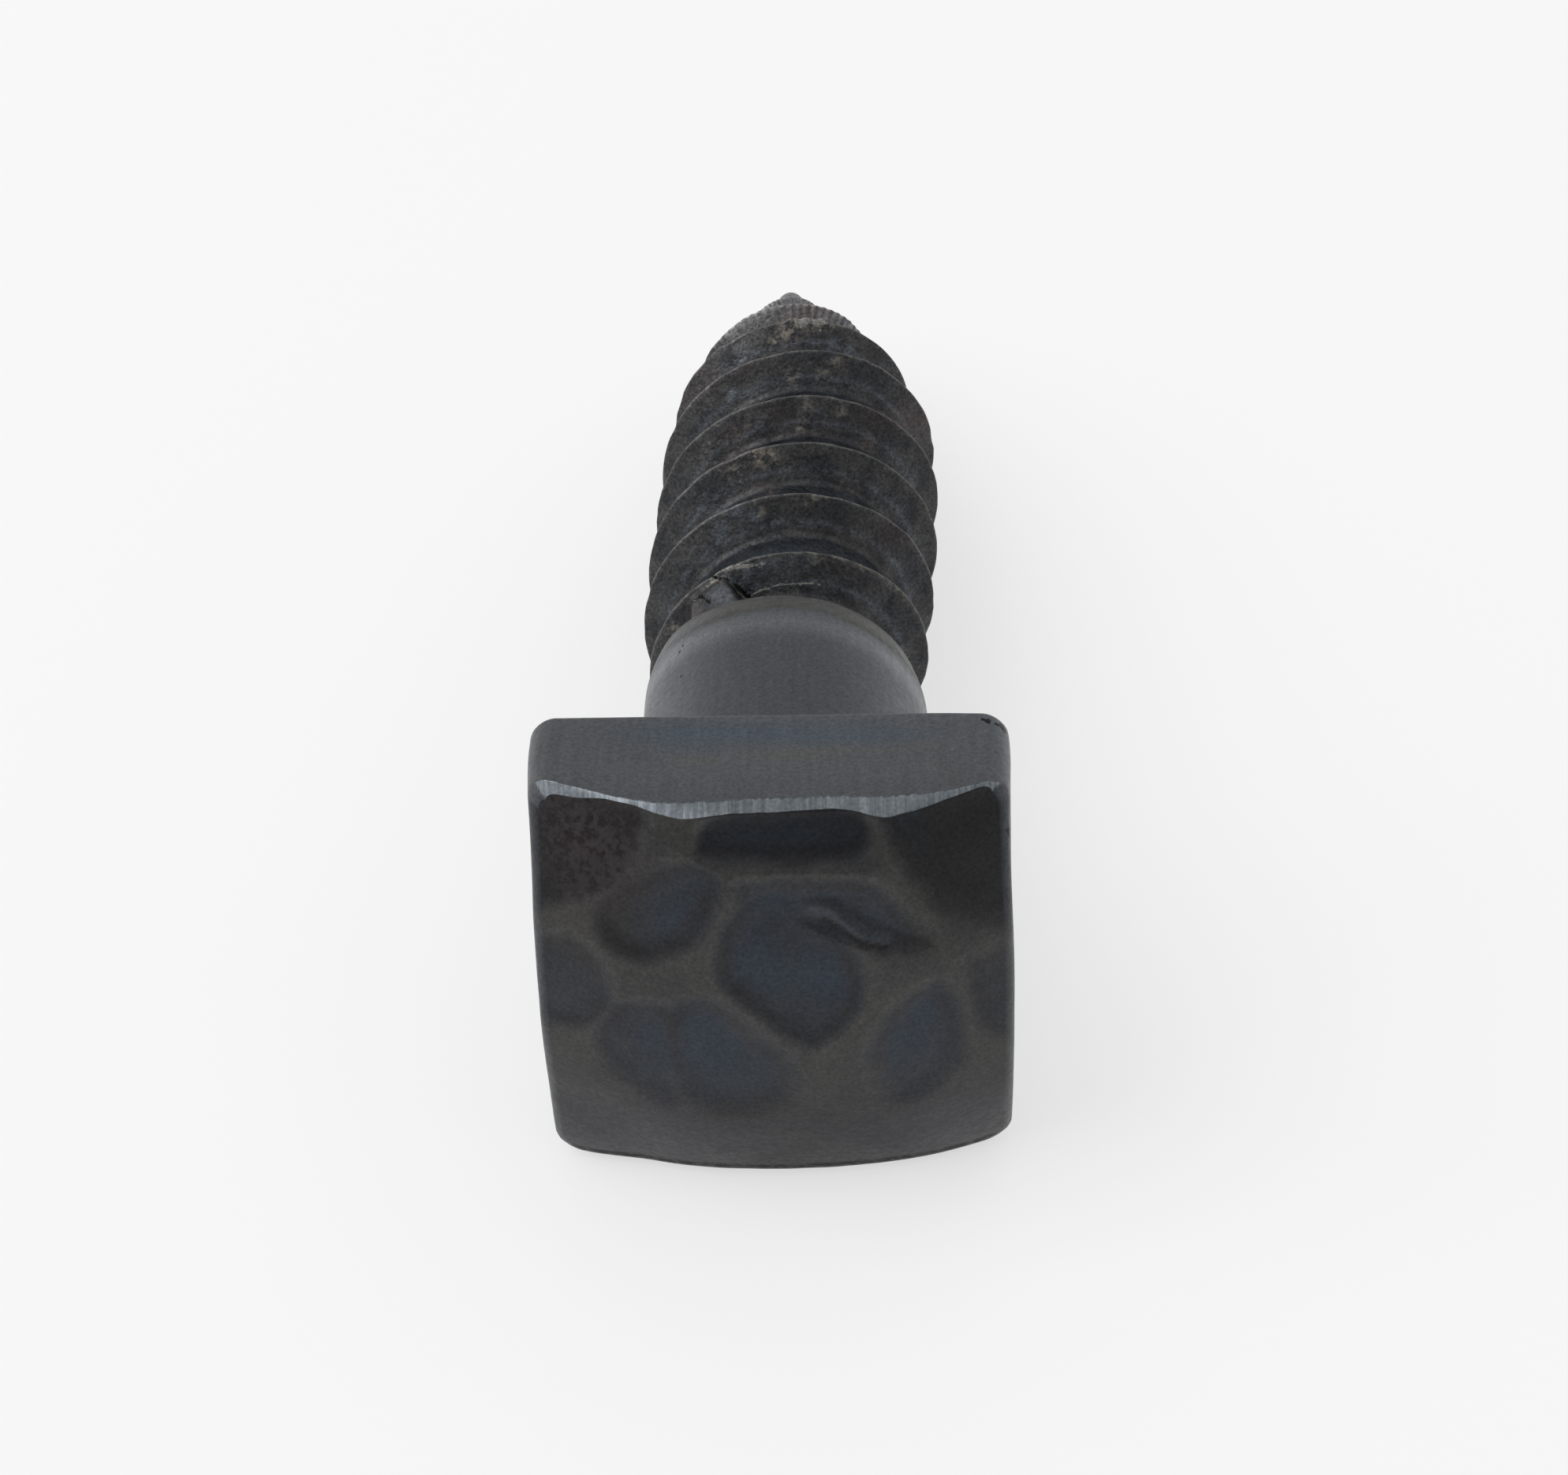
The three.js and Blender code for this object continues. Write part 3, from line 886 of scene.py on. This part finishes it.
def add_shank(shell, fine_ring):
    """Shank from the fillet to its end, with painted shade along its top, a ring of polish with a painted
    highlight, and the dull shoulder.
    """
    angle = ring_angles(COLUMNS)
    end = shank_end(angle)
    rows = [np.full(COLUMNS, place) for place in shank_rows()]
    last = rows[-1]
    for part in np.linspace(0, 1, 11)[1:]:
        rows.append(lerp(last, end, part))
    along = np.array(rows)
    angles = np.broadcast_to(angle, along.shape)
    radius = shank_radius(angles, along)
    place = on_axis(angles, along, radius)
    uneven = 0.012 * grid_noise(place, 2.2, 41) + 0.004 * grid_noise(place, 0.6, 42)
    radius = radius + uneven * smoothstep(end, end - 0.6, along)
    uneven_end = end - SHOULDER + 0.22 * grid_noise(place, 1.6, 43)
    shoulder = smoothstep(uneven_end - 0.2, uneven_end + 0.2, along)
    turned = np.degrees(wrapped(angles))
    at_sides = smoothstep(12, 55, np.abs(turned))
    ring = bell(along - end + SHOULDER + 0.9, 0.8) * (1 - shoulder) * lerp(0.75, 1, at_sides)
    shoulder = shoulder * lerp(0.35, 1, smoothstep(-50, -20, turned))
    # Painted shade along the top of the shank, a painted highlight in the ring that grows towards the
    # sides, and the duller shoulder
    tone = lerp(lerp(0.76, 1, at_sides), 0.9, shoulder) * (1 + 0.32 * ring)
    edge = np.zeros_like(along)
    edge[-1] = 0.6
    place = on_axis(angles, along, radius)
    index = shell.grid(place, True, shoulder=shoulder, ring=ring, tone=tone, crest=edge)
    shell.halving(fine_ring, index[0])


def groove_rows():
    """Places across one pitch, from crest to crest, fine at the crests and the feet of the flanks."""
    half = np.array([0, 0.035, 0.08, 0.18, 0.36, 0.56, 0.66, 0.74, 0.86, 1.0, 1.25, 1.55, 1.85])
    return np.concatenate([half, [PITCH / 2], PITCH - half[:0:-1], [PITCH]])


def add_thread(shell):
    """Planar rows down the shank's end, then rows that follow the helix as far as the nub."""
    column = ring_angles(COLUMNS)
    end = shank_end(column)
    start = end + THREAD_RAMP
    along = np.array([lerp(end, start, part) for part in np.linspace(0, 1, 5)])
    angles = np.broadcast_to(column, along.shape)
    add_thread_grid(shell, angles, along, True)

    first = math.floor((SHANK_END - PITCH - FIRST_CREST) / PITCH * COLUMNS)
    last = math.ceil((NUB_START - FIRST_CREST) / PITCH * COLUMNS)
    steps = np.arange(first, last + 1)
    angles = TURN * (steps % COLUMNS) / COLUMNS
    across_groove = groove_rows()
    along = FIRST_CREST + PITCH * steps[None, :] / COLUMNS + across_groove[:, None]
    along = along - crest_waver(np.broadcast_to(angles, along.shape), along)
    along = np.clip(along, start[steps % COLUMNS][None, :], NUB_START)
    add_thread_grid(shell, np.broadcast_to(angles, along.shape), along, False)


def add_nub(shell):
    """The rounded point, from the end of the thread."""
    rows = NUB_START + (LENGTH - NUB_START) * np.sin(np.linspace(0, 1, NUB_ROWS)[:-1] * math.pi / 2)
    along = np.broadcast_to(rows[:, None], (len(rows), COLUMNS))
    angles = np.broadcast_to(ring_angles(COLUMNS), along.shape)
    edge = thread_radius(angles, np.full(along.shape, NUB_START))
    radius = lerp(edge, nub_radius(along), smoothstep(0, 0.5, along - NUB_START))
    tone = thread_tone(angles, along)
    index = shell.grid(on_axis(angles, along, radius), True, thread=1.0, tone=tone)
    shell.fan(index[-1], on_axis(0.0, np.float64(LENGTH), 0.0), thread=1.0, tone=tone[-1, 0])


def thread_tone(angle, along):
    """The scale has painted light on its left side and is paler towards the point, and ribbed on the last
    turn's flanks.
    """
    left = np.clip(-np.sin(angle), 0, 1) ** 2
    off = np.abs(beyond_crest(angle, along))
    flank = np.maximum(smoothstep(1.1, 0.7, off), smoothstep(45.5, 46.5, along))
    last_turn = smoothstep(LAST_TURN, LAST_TURN + 0.6, along) * lerp(0.25, 1, flank)
    ribs = 1 + RIB_TONE * last_turn * smoothstep(46.0, 45.0, along) * flank * np.sin(angle * RIBS)
    # Painted light on the left side, where the light falls
    paler = 1 + 0.25 * left + 0.25 * smoothstep(30, 36, along)
    return paler * lerp(1, LAST_TURN_TONE, last_turn) * ribs


def add_thread_grid(shell, angles, along, closed):
    """Part of the threaded surface with its scale, pits and coloured places."""
    radius = thread_radius(angles, along)
    crest = crest_line(angles, along)
    place = on_axis(angles, along, radius)
    end = shank_end(angles)
    scale = smoothstep(end, end + THREAD_RAMP, along) * smoothstep(NUB_START, NUB_START - 1, along)
    rough = 0.03 * grid_noise(place, 1.3, 51) + 0.02 * grid_noise(place, 0.5, 52)
    pits = -0.06 * smoothstep(0.45, 0.8, grid_noise(place, 0.7, 53))
    radius = radius + (rough + pits) * scale * (1 - 0.7 * crest)
    place = on_axis(angles, along, radius)
    sheen, root = groove_sheen(angles, along)
    shell.grid(
        place, closed, crest=crest, blue=root,
        thread=smoothstep(SHANK_END - 0.1, SHANK_END + 0.3, along), tone=thread_tone(angles, along),
        worn=spots(place, WORN), rust=spots(place, RUSTED),
        # The painted highlight along the feet of the flanks joins the polished places
        polish=np.maximum(spots(place, POLISHED), sheen),
    )


def make_screw_mesh():
    """All patches from the face to the point, each starting on the border of the one before."""
    shell = Shell()
    front = add_front(shell)
    across, up = rounded(*perimeter())
    top, outer_along = add_edge(shell, border_of(front), across, up)
    rear = add_sides(shell, across, up, top, outer_along)
    fine_ring = add_underside(shell, rear, across, up)
    add_shank(shell, fine_ring)
    add_thread(shell)
    add_nub(shell)
    return shell


def placed(points):
    """From the screw's own frame in millimetres to the row's frame in metres."""
    bearing = next(m for m in frame["record"]["mounts"] if m["name"] == "bearing_face")
    axis = Vector(bearing["axis"]).normalized()
    sideways = Vector((1, 0, 0))
    upwards = sideways.cross(axis)
    origin = Vector(bearing["pos_m"]) - BEARING_MOUNT_ACROSS * MM * sideways
    turn = np.array([sideways, axis, upwards])
    return np.array(origin) + points * MM @ turn


def in_scene(name, data):
    """A new object of the scene."""
    new = bpy.data.objects.new(name, data)
    bpy.context.collection.objects.link(new)
    return new


def build_screw():
    """The visual screw, with each mask as a named value at every vertex."""
    shell = make_screw_mesh()
    points = placed(np.concatenate(shell.points))
    masks = np.concatenate(shell.masks)
    mesh = bpy.data.meshes.new("lag_screw_forged")
    mesh.from_pydata(points.tolist(), [], shell.faces)
    for number, name in enumerate(MASKS):
        layer = mesh.attributes.new(name, "FLOAT", "POINT")
        layer.data.foreach_set("value", masks[:, number].astype(np.float32))
    weld(mesh)
    mesh.polygons.foreach_set("use_smooth", [True] * len(mesh.polygons))
    return in_scene("lag_screw_forged", mesh)


def weld(mesh):
    """Joins the patches where their borders meet, and counts any edge left open."""
    work = bmesh.new()
    work.from_mesh(mesh)
    bmesh.ops.remove_doubles(work, verts=work.verts, dist=WELD * MM)
    bmesh.ops.dissolve_degenerate(work, edges=work.edges, dist=WELD / 2 * MM)
    bmesh.ops.recalc_face_normals(work, faces=work.faces)
    open_edges = sum(1 for edge in work.edges if len(edge.link_faces) != 2)
    print("screw mesh:", len(work.verts), "vertices,", len(work.faces), "faces,", open_edges, "open edges")
    work.to_mesh(mesh)
    work.free()


# ------------------------ materials

class Nodes:
    """Short calls for building a node tree."""

    def __init__(self, owner, shader="Principled BSDF"):
        owner.use_nodes = True
        self.tree = owner.node_tree
        self.shader = self.tree.nodes[shader]

    def add(self, kind, **settings):
        node = self.tree.nodes.new(kind)
        for name, value in settings.items():
            setattr(node, name, value)
        return node

    def fill(self, node, values):
        """Gives a node's inputs masks by name, outputs, numbers, lists, and tuples as colours."""
        for name, value in values.items():
            value = self.mask(value) if isinstance(value, str) else value
            if isinstance(value, bpy.types.NodeSocket):
                self.tree.links.new(value, node.inputs[name])
            else:
                node.inputs[name].default_value = (*value, 1) if isinstance(value, tuple) else value

    def place(self):
        return self.add("ShaderNodeTexCoord").outputs["Object"]

    def mask(self, name):
        return self.add("ShaderNodeAttribute", attribute_name=name).outputs["Fac"]

    def coords(self, scale, turned=0.0):
        """Object coordinates, scaled and turned about the upright axis."""
        mapping = self.add("ShaderNodeMapping", vector_type="TEXTURE" if turned else "POINT")
        size = [1 / part if turned else part for part in scale]
        self.fill(mapping, {"Vector": self.place(), "Rotation": [0, 0, turned], "Scale": size})
        return mapping.outputs["Vector"]

    @functools.cached_property
    def even(self):
        """Object coordinates in millimetres."""
        return self.coords((1 / MM, 1 / MM, 1 / MM))

    @functools.cached_property
    def speck(self):
        """Fine ragged specks that rust, wear and bumps share."""
        return self.noise(self.even, 2.2, 6.0, 0.7)

    def noise(self, vector, scale, detail, roughness=0.55):
        node = self.add("ShaderNodeTexNoise")
        self.fill(node, {"Vector": vector, "Scale": scale, "Detail": detail, "Roughness": roughness})
        return node.outputs["Fac"]

    def range(self, source, low, high, first, last, curve="LINEAR"):
        """Value from first to last as the source goes from low to high."""
        node = self.add("ShaderNodeMapRange", interpolation_type=curve)
        ends = {"From Min": low, "From Max": high, "To Min": first, "To Max": last}
        self.fill(node, {"Value": source, **ends})
        return node.outputs["Result"]

    def ramp(self, source, low, high, first=0.0, last=1.0):
        """The same with soft ends."""
        return self.range(source, low, high, first, last, "SMOOTHSTEP")

    def distance(self, centre):
        """Distance from a place given in the object's own coordinates."""
        node = self.add("ShaderNodeVectorMath", operation="DISTANCE")
        self.fill(node, {0: self.place(), 1: [float(part) for part in centre]})
        return node.outputs["Value"]

    def maths(self, operation, a, b):
        node = self.add("ShaderNodeMath", operation=operation)
        self.fill(node, {0: a, 1: b})
        return node.outputs[0]

    def times(self, a, b):
        return self.maths("MULTIPLY", a, b)

    def strongest(self, values):
        return functools.reduce(functools.partial(self.maths, "MAXIMUM"), values)

    def multiply(self, colour, factor):
        """The colour made brighter or darker by a factor."""
        node = self.add("ShaderNodeVectorMath", operation="SCALE")
        self.fill(node, {0: colour, "Scale": factor})
        return node.outputs[0]

    def mix(self, kind, sockets, factor, a, b):
        """From a to b as the factor goes from 0 to 1; sockets are the two inputs and the output."""
        node = self.add("ShaderNodeMix", data_type=kind)
        self.fill(node, {"Factor": factor, sockets[0]: a, sockets[1]: b})
        return node.outputs[sockets[2]]

    def mix_colour(self, factor, a, b):
        return self.mix("RGBA", (6, 7, 2), factor, a, b)

    def mix_value(self, factor, a, b):
        return self.mix("FLOAT", (2, 3, 0), factor, a, b)

    def layers(self, colour, *layers):
        """A colour with shades laid over it in turn, each by a share of its mask."""
        for factor, share, shade in layers:
            colour = self.mix_colour(self.times(factor, share), colour, shade)
        return colour


def blackened_steel():
    """The whole screw's material; the masks say which part of it each place shows."""
    material = bpy.data.materials.new("blackened_steel")
    nodes = Nodes(material)
    colour = nodes.mix_colour("face", flats_colour(nodes), face_colour(nodes))
    colour = nodes.mix_colour("thread", colour, thread_colour(nodes))
    colour = nodes.mix_colour(*band(nodes, colour))
    worn = nodes.times("crest", nodes.range(nodes.speck, 0.40, 0.58, 0.25, 0.95))
    colour = nodes.mix_colour(worn, colour, CREST_METAL)
    grain = nodes.noise(nodes.even, 7.0, 2.0)
    smooth_grain = nodes.range(grain, 0.25, 0.75, 0.76, 1.24)
    scaly_grain = nodes.range(grain, 0.25, 0.75, 0.50, 1.52)
    colour = nodes.multiply(colour, nodes.mix_value("thread", smooth_grain, scaly_grain))
    # Painted light and shade, with tone, carried by the mesh
    colour = nodes.multiply(colour, "tone")
    dark_lines = lines(nodes, [(*on_thread(*crack[:2]), crack[2]) for crack in CRACKS])
    colour = nodes.mix_colour(nodes.strongest([pits(nodes), dark_lines]), colour, PIT_BLACK)
    nodes.fill(nodes.shader, {"Base Color": colour})
    finish(nodes)
    return material


def pits(nodes):
    """Black pits and nicks with ragged outlines."""
    ragged = nodes.range(nodes.noise(nodes.even, 3.5, 2.0), 0.3, 0.7, 0.6, 1.5)
    spots_of_dark = []
    for centre, radius in NICKS:
        away = nodes.times(nodes.distance(placed(np.array([centre]))[0]), ragged)
        spots_of_dark.append(nodes.ramp(away, radius * MM, 0.6 * radius * MM))
    return nodes.strongest(spots_of_dark)


def on_thread(*places):
    """Points of the thread's surface, in metres, at (degrees, along) places."""
    angle, along = np.array(places).T
    angle = np.radians(angle)
    return [Vector(point) for point in placed(on_axis(angle, along, thread_radius(angle, along)))]


def lines(nodes, places):
    """Narrow lines with ragged outlines, each a long thin ellipsoid between two points."""
    ragged = nodes.range(nodes.noise(nodes.even, 4.5, 3.0), 0.32, 0.68, 0.5, 1.8)
    drawn = []
    for first, last, half in places:
        mapping = nodes.add("ShaderNodeMapping", vector_type="TEXTURE")
        nodes.fill(mapping, {
            "Vector": nodes.place(),
            "Location": (first + last) / 2,
            "Rotation": (last - first).to_track_quat("X", "Z").to_euler(),
            "Scale": [0.6 * (last - first).length, half * MM, LINE_REACH * MM],
        })
        length = nodes.add("ShaderNodeVectorMath", operation="LENGTH")
        nodes.fill(length, {0: mapping.outputs["Vector"]})
        drawn.append(nodes.ramp(nodes.times(length.outputs["Value"], ragged), 1.15, 0.7))
    return nodes.strongest(drawn)


def flats_colour(nodes):
    """Head flats and shank: grey oxide with bluish and straw tints, and a dull shoulder."""
    cloud = nodes.noise(nodes.even, 0.16, 3.0)
    patch = nodes.noise(nodes.even, 0.5, 5.0)
    colour = nodes.layers(
        nodes.mix_colour(nodes.ramp(cloud, 0.38, 0.64), *FLAT_OXIDE),
        ("blue", 0.85, BLUE_TEMPER),
        ("tan", 0.6, STRAW_TEMPER),
        (nodes.ramp(patch, 0.58, 0.75), 0.3, BROWN_OXIDE),
        ("ring", 0.8, RUBBED_RING_AND_HIGHLIGHT),
        ("shoulder", 0.85, DULL_SHOULDER),
    )
    streaks = nodes.noise(nodes.coords(DRAWN_STREAKS), 1.0, 2.0)
    colour = nodes.multiply(colour, nodes.range(streaks, 0.3, 0.7, 0.93, 1.07))
    return nodes.layers(colour, (scratches(nodes), 0.22, SCRATCHED))


def scratches(nodes):
    """Thin broken scratches in two directions."""
    both = []
    for turned, scale in SCRATCHES:
        both.append(nodes.ramp(nodes.noise(nodes.coords(scale, turned), 1.0, 1.0), 0.70, 0.76))
    return nodes.strongest(both)


def face_colour(nodes):
    """Hammered face: worn warm lands, bluish floors, darker walls, slightly bright rims that are partly
    wear and partly painted highlight, and a painted highlight on the fold's lip.
    """
    cloud = nodes.noise(nodes.even, 0.25, 3.0)
    patch = nodes.noise(nodes.even, 0.45, 5.0)
    fine = nodes.noise(nodes.even, 1.7, 4.0, 0.6)
    patchy = nodes.ramp(patch, 0.35, 0.65)
    land = nodes.layers(
        nodes.mix_colour(patchy, *LAND),
        ("blue", 0.8, LAND_FOOT),
        # Rims: partly wear and partly painted highlight
        (nodes.times("rim", nodes.ramp(fine, 0.35, 0.6)), 0.4, RIM),
    )
    hollow = nodes.layers(
        nodes.mix_colour(patchy, *HOLLOW),
        (nodes.ramp(fine, 0.5, 0.7), 0.35, HOLLOW_SHEEN),
        ("tan", 0.9, HOLLOW_CORNER),
        ("wall", 0.5, HOLLOW_WALL),
        (nodes.times("deep", nodes.ramp(cloud, 0.35, 0.6)), 0.8, HOLLOW_DEEP),
    )
    return nodes.layers(
        nodes.mix_colour("mark", land, hollow),
        ("rust", nodes.range(cloud, 0.3, 0.6, 0.4, 1.0), MAROON_STAIN),
        # Painted highlight on the fold's lip
        ("polish", 0.5, FOLD_LIP_HIGHLIGHT),
        ("crack", 0.8, FOLD_DARK),
    )


def band(nodes, colour):
    """The ground band: where it lies, with grinding lines that run out at its edge, and its colours."""
    grinding = nodes.noise(nodes.coords(GRINDING_LINES), 1.0, 2.0)
    ragged = nodes.maths("ADD", "band", nodes.range(grinding, 0.3, 0.7, -0.1, 0.1))
    ground = nodes.mix_colour(nodes.ramp(grinding, 0.35, 0.65), *GROUND_METAL)
    return nodes.ramp(ragged, 0.35, 0.75), colour, ground


def thread_colour(nodes):
    """Scaly black thread: mottled oxide, rust specks, worn and polished places, and a painted highlight
    along the feet of the flanks.
    """
    cloud = nodes.noise(nodes.even, 0.22, 3.0)
    patch = nodes.noise(nodes.even, 0.7, 6.0, 0.62)
    stains = nodes.times(nodes.ramp(nodes.speck, 0.58, 0.70), nodes.ramp(cloud, 0.42, 0.6))
    colour = nodes.layers(
        nodes.mix_colour(nodes.ramp(patch, 0.38, 0.62), *THREAD_SCALE),
        (nodes.ramp(cloud, 0.5, 0.68), 0.6, THREAD_BROWN),
        ("blue", 0.7, ROOT_BLUE),
        (stains, 0.6, STAINED_SCALE),
        (rust(nodes), 0.8, RUST),
        # Polished places and the painted highlight along the feet of the flanks
        (nodes.times("polish", nodes.ramp(nodes.speck, 0.36, 0.54)), 0.9, POLISHED_METAL_AND_SHEEN),
        ("worn", nodes.ramp(nodes.speck, 0.44, 0.56), WORN_METAL),
    )
    bright_lines = lines(nodes, [(*on_thread(start, end), half) for start, end, half in BRIGHT_LINES])
    return nodes.mix_colour(bright_lines, colour, BRIGHT_METAL)


def rust(nodes):
    """Ragged dry rust in the rusted places."""
    return nodes.times("rust", nodes.ramp(nodes.speck, 0.42, 0.58))


def finish(nodes):
    """Roughness, metal and bump: satin flats, duller and rougher thread, dry rust."""
    grain = nodes.noise(nodes.even, 3.2, 3.0)
    coarse = nodes.noise(nodes.even, 0.9, 5.0, 0.6)
    fine = nodes.noise(nodes.even, 5.5, 3.0, 0.6)
    dry = rust(nodes)
    rough = nodes.mix_value(nodes.ramp(grain, 0.3, 0.7), 0.37, 0.47)
    rough = nodes.mix_value("thread", rough, nodes.range(coarse, 0.35, 0.65, 0.32, 0.55))
    scaly = nodes.maths("ADD", nodes.speck, nodes.times(fine, 0.5))
    scaly = nodes.maths("ADD", nodes.times(coarse, 2.4), scaly)
    bump = nodes.add("ShaderNodeBump")
    height = nodes.mix_value("thread", nodes.times(grain, 0.5), scaly)
    nodes.fill(bump, {"Strength": 0.6, "Distance": BUMP_HEIGHT * MM, "Height": height})
    nodes.fill(nodes.shader, {
        "Roughness": nodes.mix_value(dry, rough, 0.8),
        "Metallic": nodes.range(dry, 0, 1, 0.9, 0.3),
        "Normal": bump.outputs["Normal"],
    })


def pale_floor():
    """A plain pale table, lit a little from within so that it stays even."""
    bpy.ops.mesh.primitive_plane_add(size=6, location=(0, 0, 0))
    floor = bpy.context.object
    floor.name = "table_top"
    material = bpy.data.materials.new("white_card")
    nodes = Nodes(material)
    nodes.fill(nodes.shader, {
        "Base Color": FLOOR_COLOUR, "Emission Color": (1, 1, 1), "Emission Strength": FLOOR_GLOW,
        "Roughness": 0.9, "Specular IOR Level": 0.2,
    })
    floor.data.materials.append(material)


# ------------------------ light and camera

def make_sky():
    """Soft studio light from all round, stronger from above and from behind the point."""
    world = bpy.data.worlds.new("studio")
    bpy.context.scene.world = world
    nodes = Nodes(world, "Background")
    split = nodes.add("ShaderNodeSeparateXYZ")
    nodes.fill(split, {0: nodes.add("ShaderNodeTexCoord").outputs["Generated"]})
    high = nodes.maths("ADD", nodes.times(split.outputs["Z"], 0.9), split.outputs["Y"])
    strength = nodes.ramp(high, -0.7, 0.4, *SKY_STRENGTH)
    nodes.fill(nodes.shader, {"Color": (1, 1, 1), "Strength": strength})


def make_softbox():
    data = bpy.data.lights.new("softbox_left", "AREA")
    data.shape = "RECTANGLE"
    data.size = data.size_y = SOFTBOX_SIDE
    data.energy = SOFTBOX_WATTS
    light = in_scene("softbox_left", data)
    light.location = SOFTBOX_PLACE
    light.rotation_euler = (-Vector(SOFTBOX_PLACE)).to_track_quat("-Z", "Y").to_euler()


def make_camera():
    """The photograph's viewing angle, fitted to the crests, the head's corners and the point."""
    azimuth = math.radians(CAMERA_AZIMUTH)
    elevation = math.radians(CAMERA_ELEVATION)
    back = Vector((
        math.sin(azimuth) * math.cos(elevation),
        -math.cos(azimuth) * math.cos(elevation),
        math.sin(elevation),
    ))
    data = bpy.data.cameras.new("camera")
    data.lens = CAMERA_LENS
    data.sensor_width = 36
    data.clip_start = 0.01
    camera = in_scene("camera", data)
    camera.location = Vector(placed(np.array(CAMERA_AIM))) + back * CAMERA_DISTANCE
    facing = (-back).to_track_quat("-Z", "Y").to_matrix()
    camera.rotation_euler = (facing @ Matrix.Rotation(math.radians(CAMERA_ROLL), 3, "Z")).to_euler()
    bpy.context.scene.camera = camera
    bpy.context.scene.view_settings.view_transform = "Standard"


screw = build_screw()
screw.data.materials.append(blackened_steel())
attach(screw, "root")
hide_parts("lag_screw")
pale_floor()
make_sky()
make_softbox()
make_camera()
